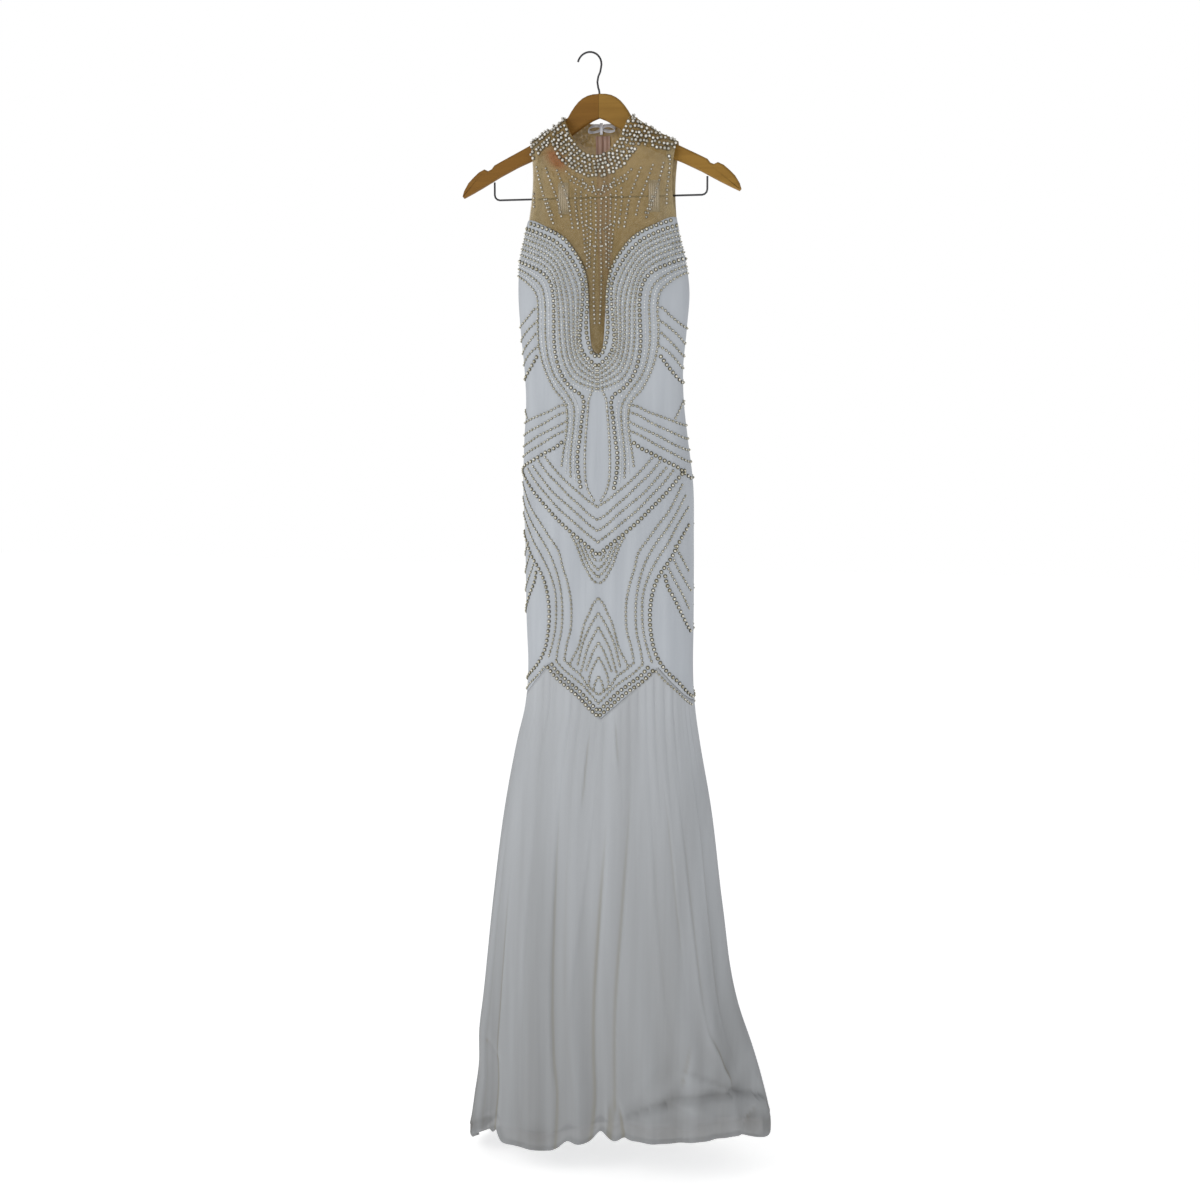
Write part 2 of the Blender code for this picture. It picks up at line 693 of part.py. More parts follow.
def skirt_half(name, middle):
    """Gathered chiffon from the seam to the hem, which tucks under."""
    turn = skirt_angles() + middle
    top = seam_drop(turn) + SEAM_GAP
    bottom = hem_drop(turn) - HEM_TUCK[1][0]
    v = np.array(SKIRT_ROWS)[:, None]
    drop = top + (bottom - top) * v
    turns = np.broadcast_to(turn, drop.shape)
    columns = np.broadcast_to(np.arange(len(turn)), drop.shape)
    height = fold_height(turns, drop) + gather_height(turns, drop, columns)
    normal = plain_normal(turns, drop)
    grid = plain_point(turns, drop) + normal * height[..., None]
    level = normal[-1] * np.array([1.0, 1.0, 0.0])
    level /= np.linalg.norm(level, axis=-1, keepdims=True)
    rows = [grid]
    for fall, tuck in HEM_TUCK:
        rows.append((grid[-1] - level * tuck - np.array([0.0, 0.0, fall]))[None])
    grid = np.concatenate(rows)
    edge = -SEAM_GAP / 2 if middle == 0.0 else SEAM_GAP / 2
    grid[:, 0, 1] = grid[:, -1, 1] = edge
    normals = grid_normals(grid)
    flatten_normals(normals, (slice(None), 0), 1)
    flatten_normals(normals, (slice(None), -1), 1)
    flatten_normals(normals, (0, slice(None)), 2)
    wall(name, grid, normals, CLOTH, "white chiffon")


def underskirt_half(name, middle):
    """Opaque lining inside the chiffon, following its deep folds only."""
    turn = np.linspace(-math.pi / 2, math.pi / 2, UNDERSKIRT_COLUMNS + 1) + middle
    top = seam_drop(turn) + UNDERSKIRT_TOP
    bottom = hem_drop(turn) - UNDERSKIRT_RISE
    v = np.linspace(0.0, 1.0, UNDERSKIRT_ROWS + 1)[:, None]
    drop = top + (bottom - top) * v
    turns = np.broadcast_to(turn, drop.shape)
    height = fold_height(turns, drop) - UNDERSKIRT_GAP
    grid = plain_point(turns, drop) + plain_normal(turns, drop) * height[..., None]
    edge = -SEAM_GAP / 2 if middle == 0.0 else SEAM_GAP / 2
    grid[:, 0, 1] = grid[:, -1, 1] = edge
    normals = grid_normals(grid)
    flatten_normals(normals, (slice(None), 0), 1)
    flatten_normals(normals, (slice(None), -1), 1)
    wall(name, grid, normals, CLOTH, "white lining")


def armhole_facing(name, front, back, front_columns, back_columns):
    """A turned strip inside each armhole, from the front corner over the shoulder to the back."""
    front_grid, front_normals = front
    back_grid, back_normals = back
    grid = np.concatenate([front_grid[::-1, front_columns], back_grid[1:, back_columns]])
    normals = np.concatenate([front_normals[::-1, front_columns], back_normals[1:, back_columns]])
    inside = grid - normals * (CLOTH + LAYER_GAP)
    wall(name, inside, normals, TAPE, "nude mesh")


def zip_tape(name, yoke, bodice, columns):
    """A tape inside the back seam, made from the two panels' own points beside the zip."""
    yoke_grid, yoke_normals = yoke
    bodice_grid, bodice_normals = bodice
    grid = np.concatenate([yoke_grid[:, columns], bodice_grid[1:, columns]])
    normals = np.concatenate([yoke_normals[:, columns], bodice_normals[1:, columns]])
    keep = (grid[:, 0, 2] < -ZIP_TOP_DROP) & (grid[:, 0, 2] > -ZIP_END_DROP)
    inside = grid[keep] - normals[keep] * (CLOTH + LAYER_GAP)
    wall(name, inside, normals[keep], TAPE, "zip tape")


def box(name, size, centre, finish, bevel=0.0):
    mesh = bmesh.new()
    bmesh.ops.create_cube(mesh, size=1.0)
    bmesh.ops.scale(mesh, vec=size, verts=mesh.verts)
    if bevel:
        bmesh.ops.bevel(mesh, geom=mesh.edges[:], offset=bevel, segments=2, affect="EDGES", profile=0.5)
    bmesh.ops.translate(mesh, vec=centre, verts=mesh.verts)
    made = bpy.data.meshes.new(name)
    mesh.to_mesh(made)
    mesh.free()
    made.shade_smooth()
    made.set_sharp_from_angle(angle=math.radians(40))
    made.materials.append(material(finish))
    item = bpy.data.objects.new(name, made)
    bpy.context.scene.collection.objects.link(item)
    return item


def cut(item, cutter):
    """Take a guide shape out of a piece and leave the guide hidden."""
    cutter.hide_render = True
    cutter.display_type = "WIRE"
    change = item.modifiers.new("cut", "BOOLEAN")
    change.operation = "DIFFERENCE"
    change.solver = "EXACT"
    change.object = cutter


def rod(name, radius, length, centre, sides=16):
    """A guide cylinder along X."""
    mesh = bmesh.new()
    bmesh.ops.create_cone(
        mesh, cap_ends=True, segments=sides, radius1=radius, radius2=radius, depth=length
    )
    bmesh.ops.rotate(mesh, verts=mesh.verts, matrix=turn_to_x())
    bmesh.ops.translate(mesh, vec=centre, verts=mesh.verts)
    made = bpy.data.meshes.new(name)
    mesh.to_mesh(made)
    mesh.free()
    item = bpy.data.objects.new(name, made)
    bpy.context.scene.collection.objects.link(item)
    return item


def turn_to_x():
    from_z = Vector((0, 0, 1))
    return from_z.rotation_difference(Vector((1, 0, 0))).to_matrix()


def label():
    """Bare ribbon label inside the back neck, above the zip."""
    width, height, thick = LABEL_SIZE
    x = np.linspace(-width / 2, width / 2, LABEL_COLUMNS)[None, :] + HANGER_X
    top = neck_back_drop(x) + LABEL_DROP
    drop = top + np.array([[0.0], [height]])
    x = np.broadcast_to(x, drop.shape)
    outer = yoke_point(x, drop, np.full_like(x, 1.0))[:, ::-1]
    normals = grid_normals(outer)
    inside = outer - normals * (CLOTH + LAYER_GAP)
    wall("label", inside, normals, thick, "label ribbon")


def zip_place():
    """Back seam point outside which the slider sits, and the panel's slope there."""
    x = HANGER_X + SLIDER_SHIFT
    here = yoke_point(np.array([x]), np.array([SLIDER_DROP]), np.array([1.0]))[0]
    return Vector((float(x), float(here[1]), -SLIDER_DROP))


def zip_slider():
    seat = zip_place()
    deep = SLIDER_SIZE[1]
    body_y = seat.y + SEAM_GAP + deep / 2
    item = box("zip_slider", SLIDER_SIZE, (seat.x, body_y, seat.z), "zip metal", bevel=SLIDER_BEVEL)
    top = body_y + deep / 2
    reach = BAIL_INNER + BAIL_WIRE / 2
    path = []
    for step in range(BAIL_STEPS + 1):
        turn = math.pi * step / BAIL_STEPS
        path.append(Vector((seat.x, top + math.sin(turn) * reach, seat.z + math.cos(turn) * reach)))
    root = Vector((0, BAIL_ROOT, 0))
    path = [path[0] - root] + path + [path[-1] - root]
    points, faces = [], []
    sides = BAIL_SIDES
    for k, centre in enumerate(path):
        ahead = path[min(k + 1, len(path) - 1)] - path[max(k - 1, 0)]
        up = Vector((1, 0, 0)).cross(ahead).normalized()
        for s in range(sides):
            turn = 2 * math.pi * s / sides
            ring = Vector((1, 0, 0)) * math.cos(turn) + up * math.sin(turn)
            points.append(centre + ring * BAIL_WIRE / 2)
    for k in range(len(path) - 1):
        for s in range(sides):
            here, after = k * sides + s, k * sides + (s + 1) % sides
            faces.append((here, after, after + sides, here + sides))
    faces.append(tuple(reversed(range(sides))))
    faces.append(tuple(range((len(path) - 1) * sides, len(path) * sides)))
    bail = add_mesh("bail_guide", points, faces, "zip metal")
    bail.hide_render = True
    bail.display_type = "WIRE"
    join = item.modifiers.new("bail", "BOOLEAN")
    join.operation = "UNION"
    join.solver = "EXACT"
    join.object = bail
    return Vector((seat.x, top + PULL_LIFT, seat.z))


def zip_pull(pivot):
    """Flat pull tab with a window; its top bar passes through the slider's bail."""
    width, thick, tall = PULL_SIZE
    gap, window = PULL_WINDOW
    lift = PULL_BAR / 2
    item = box("zip_pull", (width, thick, tall), (0.0, 0.0, lift - tall / 2), "zip metal", bevel=PULL_BEVEL)
    item.location = pivot
    hole = box("window_guide", (gap, thick * 4, window), (0.0, 0.0, -lift - window / 2), "zip metal")
    hole.location = pivot
    cut(item, hole)


def wood_half(sign, name, finish):
    """Half of the hanger: its outline at five depths, drawn in at both faces for rounded edges."""
    outline = np.array(WOOD_OUTLINE) * np.array([1.0, -1.0])
    outline[:, 0] += WOOD_JOIN / 2 * (outline[:, 0] == 0.0)
    ahead, behind = np.roll(outline, -1, axis=0), np.roll(outline, 1, axis=0)
    along = (ahead - behind) / np.linalg.norm(ahead - behind, axis=1, keepdims=True)
    inward = np.stack([along[:, 1], -along[:, 0]], axis=1)
    inward[outline[:, 0] <= WOOD_JOIN, 0] = 0.0
    depths = []
    for turn, kept in WOOD_ROUND:
        sunk = WOOD_EDGE * (1 - math.cos(math.radians(turn))) * kept
        depths.append((WOOD / 2 - WOOD_EDGE * (1 - math.sin(math.radians(turn))), sunk))
    layers = [(-y, sunk) for y, sunk in depths] + [(y, sunk) for y, sunk in reversed(depths)]
    points = []
    for y, sunk in layers:
        ring = outline + inward * sunk
        points += [(HANGER_X + sign * x, y, z) for x, z in ring]
    count = len(outline)
    faces = []
    for k in range(len(layers) - 1):
        for s in range(count):
            here, after = k * count + s, k * count + (s + 1) % count
            faces.append((here, after, after + count, here + count))
    faces.append(tuple(reversed(range(count))))
    faces.append(tuple(range((len(layers) - 1) * count, len(layers) * count)))
    if sign < 0:
        faces = [tuple(reversed(f)) for f in faces]
    return add_mesh(name, points, faces, finish, smooth_angle=50.0)


def wire(name, points, diameter, finish, sides=2):
    curve = bpy.data.curves.new(name, "CURVE")
    curve.dimensions = "3D"
    curve.bevel_depth = diameter / 2
    curve.bevel_resolution = sides
    curve.use_fill_caps = True
    spline = curve.splines.new("POLY")
    spline.points.add(len(points) - 1)
    for place, point in zip(spline.points, points):
        place.co = (*point, 1.0)
    curve.materials.append(material(finish))
    item = bpy.data.objects.new(name, curve)
    bpy.context.scene.collection.objects.link(item)
    return item


def hook():
    """Round loop whose crown's inside is the origin, then a swan neck down to the wood."""
    centre_z = HOOK_WIRE / 2 - HOOK_RADIUS
    points = []
    for k in range(HOOK_STEPS + 1):
        turn = math.radians(HOOK_TIP_ANGLE + (HOOK_END_ANGLE - HOOK_TIP_ANGLE) * k / HOOK_STEPS)
        points.append((HOOK_RADIUS * math.cos(turn), 0.0, centre_z + HOOK_RADIUS * math.sin(turn)))
    points += [(x, 0.0, -drop) for x, drop in HOOK_NECK]
    points.append((HANGER_X, 0.0, -WOOD_OUTLINE[0][1] + SEAM_GAP))
    wire("hook", points, HOOK_WIRE, "dark steel")


def trouser_bar():
    """Wire bar with a rounded corner at each end and a leg up to each arm."""
    points = []
    for sign in (-1, 1):
        leg = [(sign * BAR_HALF, BAR_TOP_DROP)]
        for k in range(BAR_CORNER_STEPS + 1):
            turn = math.pi / 2 * k / BAR_CORNER_STEPS
            out = BAR_HALF - BAR_BEND + BAR_BEND * math.cos(turn)
            leg.append((sign * out, BAR_DROP - BAR_BEND + BAR_BEND * math.sin(turn)))
        points += leg if sign < 0 else leg[::-1]
    wire("trouser_bar", [(HANGER_X + x, 0.0, -drop) for x, drop in points], BAR_WIRE, "dark steel")


def clip(index, place):
    """Sprung steel clip that slides along the bar, with a slot for the jaws at each end."""
    width, deep, tall = CLIP_SIZE
    centre = (HANGER_X + place, 0.0, -BAR_DROP)
    item = box(f"clip_{index}", CLIP_SIZE, centre, "bright steel", bevel=CLIP_BEVEL)
    cut(item, rod(f"clip_bore_{index}", CLIP_BORE, width * 2, centre))
    slot = tall / 2 - CLIP_BRIDGE / 2
    for sign in (-1, 1):
        middle = (centre[0], 0.0, centre[2] + sign * (CLIP_BRIDGE / 2 + slot / 2 + CLIP_OVERCUT))
        opening = (width * 2, CLIP_SLOT, slot + CLIP_OVERCUT * 2)
        cut(item, box(f"clip_slot_{index}_{sign}", opening, middle, "bright steel"))


def surface_tree(item):
    mesh = item.data
    return BVHTree.FromPolygons([v.co for v in mesh.vertices], [p.vertices for p in mesh.polygons])


def pearl_row(name, tree, route, sign=0):
    """A raised strip on the front: the route's points laid on the panel, then swept."""
    route = np.array(route)
    if sign == 0:
        mirrored = route[:0:-1] * np.array([-1.0, 1.0])
        route = np.concatenate([mirrored, route])
    else:
        route = route * np.array([sign, 1.0])
    length = np.concatenate([[0.0], np.cumsum(np.hypot(*np.diff(route, axis=0).T))])
    count = max(int(length[-1] / ROW_STEP), 4)
    at = np.linspace(0.0, length[-1], count + 1)
    x = np.interp(at, length, route[:, 0])
    drop = np.interp(at, length, route[:, 1])
    x = x + np.interp(drop, *np.array(ROW_CENTRES).T)
    path, ups = [], []
    for px, pd in zip(x, drop):
        hit, normal, _, _ = tree.ray_cast(Vector((px, -1.0, -pd)), Vector((0, 1, 0)))
        if hit is None:
            continue
        path.append(hit + normal * ROW_CLEAR)
        ups.append(normal)
    ahead = [path[min(k + 1, len(path) - 1)] - path[max(k - 1, 0)] for k in range(len(path))]
    sides = [up.cross(a).normalized() for up, a in zip(ups, ahead)]
    w, h = ROW_WIDTH / 2, ROW_HEIGHT
    profile = ((-w, 0.0), (w, 0.0), (w * 0.5, h), (-w * 0.5, h))
    sweep(name, path, sides, ups, profile, "pearls")


def build():
    clear_scene()
    front = yoke_front()
    backs = {side: yoke_back(sign, f"yoke_back_{side}") for side, sign in (("left", -1), ("right", 1))}
    body = bodice_front()
    lower = {side: bodice_back(sign, f"bodice_back_{side}") for side, sign in (("left", -1), ("right", 1))}
    skirt_half("skirt_front", 0.0)
    skirt_half("skirt_back", math.pi)
    underskirt_half("underskirt_front", 0.0)
    underskirt_half("underskirt_back", math.pi)
    armhole_facing("armhole_facing_left", front, backs["left"], [1, 0], [-2, -1])
    armhole_facing("armhole_facing_right", front, backs["right"], [-1, -2], [0, 1])
    zip_tape("zip_tape_left", backs["left"], lower["left"], slice(0, 2))
    zip_tape("zip_tape_right", backs["right"], lower["right"], slice(-2, None))
    label()
    zip_pull(zip_slider())
    wood_half(-1, "hanger_left", "dark wood")
    wood_half(1, "hanger_right", "light wood")
    hook()
    trouser_bar()
    for index, place in enumerate(CLIP_PLACES, start=1):
        clip(index, place)
    tree = surface_tree(body)
    pearl_row("neck_row", tree, NECK_ROW)
    pearl_row("waist_row", tree, WAIST_ROW)
    pearl_row("seam_row", tree, SEAM_ROW)
    for side, sign in (("left", -1), ("right", 1)):
        pearl_row(f"bust_row_{side}", tree, BUST_ROW, sign)
        pearl_row(f"hip_row_{side}", tree, HIP_ROW, sign)


build()
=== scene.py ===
import math

import bpy
import numpy as np
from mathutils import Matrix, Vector


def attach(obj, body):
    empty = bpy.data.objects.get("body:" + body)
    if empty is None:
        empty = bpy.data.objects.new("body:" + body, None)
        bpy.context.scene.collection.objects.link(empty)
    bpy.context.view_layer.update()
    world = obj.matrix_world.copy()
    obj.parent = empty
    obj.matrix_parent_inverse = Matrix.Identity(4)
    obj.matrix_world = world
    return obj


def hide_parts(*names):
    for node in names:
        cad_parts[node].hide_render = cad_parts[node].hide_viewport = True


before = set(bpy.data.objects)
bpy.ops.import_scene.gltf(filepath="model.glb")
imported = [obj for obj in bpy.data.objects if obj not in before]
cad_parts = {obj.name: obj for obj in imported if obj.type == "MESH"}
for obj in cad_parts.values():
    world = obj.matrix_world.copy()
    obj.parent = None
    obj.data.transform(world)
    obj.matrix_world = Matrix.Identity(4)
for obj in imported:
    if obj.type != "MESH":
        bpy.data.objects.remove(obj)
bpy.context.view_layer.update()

# Everything is in metres. A drop is a distance below the inside of the hook's crown.
# The front of the dress faces -Y, and its beads repeat on both sides of one centre line.

# Rings of the dress: drop, centre x, half width, front depth, back depth
rings = np.array((
    (0.097, 0.0190, 0.1250, 0.0240, 0.0240),
    (0.140, 0.0240, 0.1250, 0.0250, 0.0250),
    (0.200, 0.0240, 0.1210, 0.0255, 0.0255),
    (0.247, 0.0205, 0.1195, 0.0260, 0.0260),
    (0.268, 0.0185, 0.1205, 0.0265, 0.0265),
    (0.307, 0.0190, 0.1295, 0.0290, 0.0285),
    (0.353, 0.0212, 0.1340, 0.0320, 0.0300),
    (0.414, 0.0210, 0.1305, 0.0345, 0.0315),
    (0.475, 0.0212, 0.1250, 0.0360, 0.0330),
    (0.520, 0.0230, 0.1245, 0.0380, 0.0350),
    (0.582, 0.0250, 0.1295, 0.0430, 0.0410),
    (0.644, 0.0280, 0.1345, 0.0490, 0.0480),
    (0.740, 0.0305, 0.1340, 0.0545, 0.0550),
    (0.864, 0.0315, 0.1335, 0.0570, 0.0590),
    (0.950, 0.0325, 0.1325, 0.0580, 0.0600),
    (1.000, 0.0320, 0.1360, 0.0620, 0.0630),
    (1.057, 0.0295, 0.1470, 0.0700, 0.0700),
    (1.155, 0.0285, 0.1655, 0.0810, 0.0800),
    (1.320, 0.0265, 0.1885, 0.0950, 0.0950),
    (1.488, 0.0285, 0.2130, 0.1060, 0.1080),
    (1.550, 0.0335, 0.2270, 0.1100, 0.1120),
    (1.606, 0.0395, 0.2350, 0.1130, 0.1160),
    (1.665, 0.0400, 0.2450, 0.1150, 0.1180),
    (1.750, 0.0290, 0.2470, 0.1170, 0.1200),
))
# Centre line of the beadwork: drop, x
centreLine = np.array(((0.15, 0.0195), (0.45, 0.0195), (0.60, 0.0220), (0.80, 0.0260), (1.02, 0.0275)))
# Edge between mesh and bodice: distance from the centre line, drop
neckEdge = np.array((
    (0.0000, 0.4515), (0.0062, 0.4470), (0.0104, 0.4300), (0.0126, 0.3900), (0.0145, 0.3520),
    (0.0205, 0.3250), (0.0325, 0.3010), (0.0430, 0.2860), (0.0485, 0.2795), (0.0525, 0.2755),
    (0.0675, 0.2660), (0.0860, 0.2570), (0.1040, 0.2485), (0.1147, 0.2470),
))
shape = {
    "sideBow": 0.35,
    "hangerX": 0.0155,
    "neckHalf": 0.0525,
    "neckFrontDrop": 0.1545,
    "neckBackDrop": 0.1020,
    "neckCurve": 2.3,
    "backNeckRise": 0.030,
    "shoulderTurn": 0.020,
    "shoulderRest": 0.0054,
    "shoulderLeft": 0.1055,
    "shoulderRight": 0.1215,
    "armholeBow": 0.006,
    "underarmDrop": 0.268,
    "seamGap": 0.0003,
    "cupHeight": 0.010,
    "cupCentre": (0.068, 0.365),
    "cupSpread": (0.030, 0.040),
    "seamCentre": 1.010,
    "seamPeak": 0.929,
    "seamSide": 0.985,
    "peakAcross": 0.655,
}
# Upper edge of the hanger's arms: distance from its join, drop
armTop = np.array(((0.0485, 0.0934), (0.0540, 0.1010), (0.0730, 0.1140), (0.0940, 0.1262), (0.1220, 0.1400)))


# Cubic curve through the knots, with slopes taken from the neighbours
def smoothRead(at, knots, values):
    knots, values = np.asarray(knots, float), np.asarray(values, float)
    slopes = np.gradient(values, knots)
    low = np.clip(np.searchsorted(knots, at) - 1, 0, len(knots) - 2)
    step = knots[low + 1] - knots[low]
    t = np.clip((at - knots[low]) / step, 0.0, 1.0)
    rise = 3 * t**2 - 2 * t**3
    start = values[low] * (1 - rise) + slopes[low] * step * (t**3 - 2 * t**2 + t)
    return start + values[low + 1] * rise + slopes[low + 1] * step * (t**3 - t**2)


def ringAt(drop):
    return [smoothRead(drop, rings[:, 0], rings[:, k]) for k in range(1, 5)]


# Flattened ring: x follows the sine of the angle, y its cosine, bowed out towards the sides
def plainPoint(angle, drop):
    centre, half, front, back = ringAt(drop)
    depth = np.where(np.cos(angle) >= 0, front, back)
    y = -depth * np.cos(angle) * (1 + shape["sideBow"] * np.sin(angle) ** 2)
    return np.stack([centre + half * np.sin(angle), y, -drop + 0 * angle], axis=-1)


def plainNormal(angle, drop):
    turn, fall = 1e-3, 1e-3
    along = plainPoint(angle + turn, drop) - plainPoint(angle - turn, drop)
    down = plainPoint(angle, drop + fall) - plainPoint(angle, drop - fall)
    return unit(np.cross(down, along))


def unit(vectors):
    return vectors / np.maximum(np.linalg.norm(vectors, axis=-1, keepdims=True), 1e-12)


# Bodice: the plain ring with two moulded cups, each a bell in x and in drop
def bodicePoint(angle, drop):
    point = plainPoint(angle, drop)
    across = (np.abs(point[..., 0] - centreLine[0, 1]) - shape["cupCentre"][0]) / shape["cupSpread"][0]
    down = (drop - shape["cupCentre"][1]) / shape["cupSpread"][1]
    lift = shape["cupHeight"] * np.exp(-0.5 * (across**2 + down**2)) * np.clip(np.cos(angle), 0, 1) ** 0.5
    return point + plainNormal(angle, drop) * lift[..., None]


def shoulderDrop(x):
    return np.interp(np.abs(x - shape["hangerX"]), armTop[:, 0], armTop[:, 1]) - shape["shoulderRest"]


# Mesh yoke: the plain ring drawn in over the shoulder along a quarter circle
def yokePoint(x, drop, side):
    hangerX, neckHalf = shape["hangerX"], shape["neckHalf"]
    inside = np.clip(1 - ((x - hangerX) / neckHalf) ** 2, 0.0, 1.0)
    edge = shoulderDrop(np.where(np.abs(x - hangerX) < neckHalf, hangerX + neckHalf, x))
    centre, half, front, back = ringAt(drop)
    sine = np.clip((x - centre) / half, -0.999, 0.999)
    depth = np.where(side < 0, front, back)
    turn = np.clip((drop - edge + shape["backNeckRise"] * inside) / shape["shoulderTurn"], 0.0, 1.0)
    y = side * depth * np.sqrt(1 - sine**2) * (1 + shape["sideBow"] * sine**2) * np.sqrt(1 - (1 - turn) ** 2)
    return np.stack([x + 0 * drop, y, -drop + 0 * x], axis=-1)


# Dropped waist seam: a V at the centre, a peak over each thigh, lower at the sides
def seamDrop(angle):
    across = np.abs(np.sin(angle))
    peak, centre, side, at = shape["seamPeak"], shape["seamCentre"], shape["seamSide"], shape["peakAcross"]
    inner = centre + (peak - centre) * across / at
    return np.where(across <= at, inner, peak + (side - peak) * (across - at) / (1 - at))


# Points become one mesh: quads and triangles are given as rows of point numbers
def fillMesh(name, points, quads, triangles=None):
    triangles = np.zeros((0, 3), int) if triangles is None else triangles
    corners = np.concatenate([quads.ravel(), triangles.ravel()]).astype(np.int32)
    starts = np.concatenate([
        np.arange(len(quads)) * 4, len(quads) * 4 + np.arange(len(triangles)) * 3
    ]).astype(np.int32)
    mesh = bpy.data.meshes.new(name)
    mesh.vertices.add(len(points))
    mesh.vertices.foreach_set("co", np.ascontiguousarray(points, np.float32).ravel())
    mesh.loops.add(len(corners))
    mesh.loops.foreach_set("vertex_index", corners)
    mesh.polygons.add(len(starts))
    mesh.polygons.foreach_set("loop_start", starts)
    mesh.polygons.foreach_set("use_smooth", np.ones(len(starts), bool))
    mesh.update(calc_edges=True)
    return mesh


def addPiece(name, mesh, material, body="dress", replaces=(), slot=None):
    mesh.materials.append(material)
    piece = bpy.data.objects.new(name, mesh)
    bpy.context.scene.collection.objects.link(piece)
    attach(piece, body)
    if replaces:
        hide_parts(*replaces)
    return piece


# Faces of a grid of points; it can close on itself from the last column, and from the last row
def gridQuads(rows, columns, wrap=False, close=False):
    index = np.arange(rows * columns).reshape(rows, columns)
    if close:
        index = np.concatenate([index, index[:1]])
    if wrap:
        index = np.concatenate([index, index[:, :1]], axis=1)
    return np.stack([index[:-1, :-1], index[1:, :-1], index[1:, 1:], index[:-1, 1:]], -1).reshape(-1, 4)


# Distance run along a path up to each of its points
def runLength(path):
    return np.concatenate([[0.0], np.cumsum(np.linalg.norm(np.diff(path, axis=0), axis=1))])


# Values of several columns read at distances along a path
def readAlong(at, run, values):
    return np.stack([np.interp(at, run, values[:, k]) for k in range(values.shape[1])], -1)


# A sheet of cloth from a grid of points, thickened on its inner side, with values kept at its points
def addSheet(name, grid, material, thickness, marks=None, **options):
    rows, columns = grid.shape[:2]
    mesh = fillMesh(name, grid.reshape(-1, 3), gridQuads(rows, columns))
    for label, values in (marks or {}).items():
        mark = mesh.attributes.new(label, "FLOAT", "POINT")
        mark.data.foreach_set("value", np.ascontiguousarray(values, np.float32).ravel())
    piece = addPiece(name, mesh, material, **options)
    wall = piece.modifiers.new("thickness", "SOLIDIFY")
    wall.thickness = thickness
    wall.offset = -1.0
    return piece


# Colour given as sRGB hex, turned to linear
def linear(hexValue):
    channels = [int(hexValue[k:k + 2], 16) / 255 for k in (1, 3, 5)]
    return [c / 12.92 if c <= 0.04045 else ((c + 0.055) / 1.055) ** 2.4 for c in channels] + [1.0]


# One node with its settings and its links: a link is (input, other node, output)
def addNode(tree, kind, settings=None, inputs=None, links=()):
    node = tree.nodes.new(kind)
    for key, value in (settings or {}).items():
        setattr(node, key, value)
    for key, value in (inputs or {}).items():
        node.inputs[key].default_value = value
    for socket, other, output in links:
        tree.links.new(other.outputs[output], node.inputs[socket])
    return node


def newMaterial(name, colour, roughness, metallic=0.0, **sockets):
    made = bpy.data.materials.new(name)
    made.use_nodes = True
    shader = made.node_tree.nodes["Principled BSDF"]
    shader.inputs["Base Color"].default_value = linear(colour)
    shader.inputs["Roughness"].default_value = roughness
    shader.inputs["Metallic"].default_value = metallic
    for key, value in sockets.items():
        shader.inputs[key.replace("_", " ")].default_value = value
    return made, made.node_tree, shader


# Two colours mixed by a factor that comes from another node
def mixColours(tree, low, high, factorNode, output):
    return addNode(
        tree, "ShaderNodeMix", {"data_type": "RGBA"},
        {6: low, 7: high}, [(0, factorNode, output)],
    )


print("scene: materials")

finish = {
    "tulleThread": "#B8A275",
    "tulleShade": "#96804F",
    "tulleBacklightPaint": "#B8AB8C",
    "backTulleLitPaint": "#CDB07A",
    "backTulleLitPaintDark": "#B49865",
    "stain": "#8E3F22",
    "crepe": "#BFC4CA",
    "crepeCreaseShadePaint": "#A5AAB1",
    "chiffonPaintedLight": "#C6CACF",
    "chiffonPaintedShade": "#7F7F7E",
    "chiffonPaintedCreaseShadow": "#8B856F",
    "lining": "#C9CCD0",
    "liningShade": "#B4B6B8",
}


# Noise over the object's own metres
def addNoise(tree, place, scale, detail, **more):
    inputs = {"Scale": scale, "Detail": detail, **more}
    return addNode(tree, "ShaderNodeTexNoise", None, inputs, [("Vector", place, "Object")])


# Noise with its own number of cells per metre along x, y and z
def addStreaks(tree, place, cells, detail, **more):
    lie = addNode(tree, "ShaderNodeMapping", None, {"Scale": cells}, [("Vector", place, "Object")])
    inputs = {"Scale": 1.0, "Detail": detail, **more}
    return addNode(tree, "ShaderNodeTexNoise", None, inputs, [("Vector", lie, 0)])


# Fine relief from one node's height, laid on another bump where one is given
def addBump(tree, shader, height, output, strength, distance, under=None):
    links = [("Height", height, output)] + ([("Normal", under, 0)] if under else [])
    bump = addNode(tree, "ShaderNodeBump", None, {"Strength": strength, "Distance": distance}, links)
    tree.links.new(bump.outputs[0], shader.inputs["Normal"])
    return bump


# Base colour between two tones
def paint(tree, shader, dark, light, factorNode, output="Fac"):
    tone = mixColours(tree, linear(dark), linear(light), factorNode, output)
    tree.links.new(tone.outputs[2], shader.inputs["Base Color"])
    return tone


# A value that the mesh keeps at each point
def readMark(tree, attribute):
    return addNode(tree, "ShaderNodeAttribute", {"attribute_name": attribute})


# One more colour over the last tone, as far as the mesh's own value says
def layOver(tree, shader, tone, colour, mark):
    mixed = mixColours(tree, linear(colour), linear(colour), mark, "Fac")
    tree.links.new(tone.outputs[2], mixed.inputs[6])
    tree.links.new(mixed.outputs[2], shader.inputs["Base Color"])
    return mixed


# A value times a factor, plus a start
def timesPlus(tree, source, output, factor, start):
    inputs = {1: factor, 2: start}
    return addNode(tree, "ShaderNodeMath", {"operation": "MULTIPLY_ADD"}, inputs, [(0, source, output)])


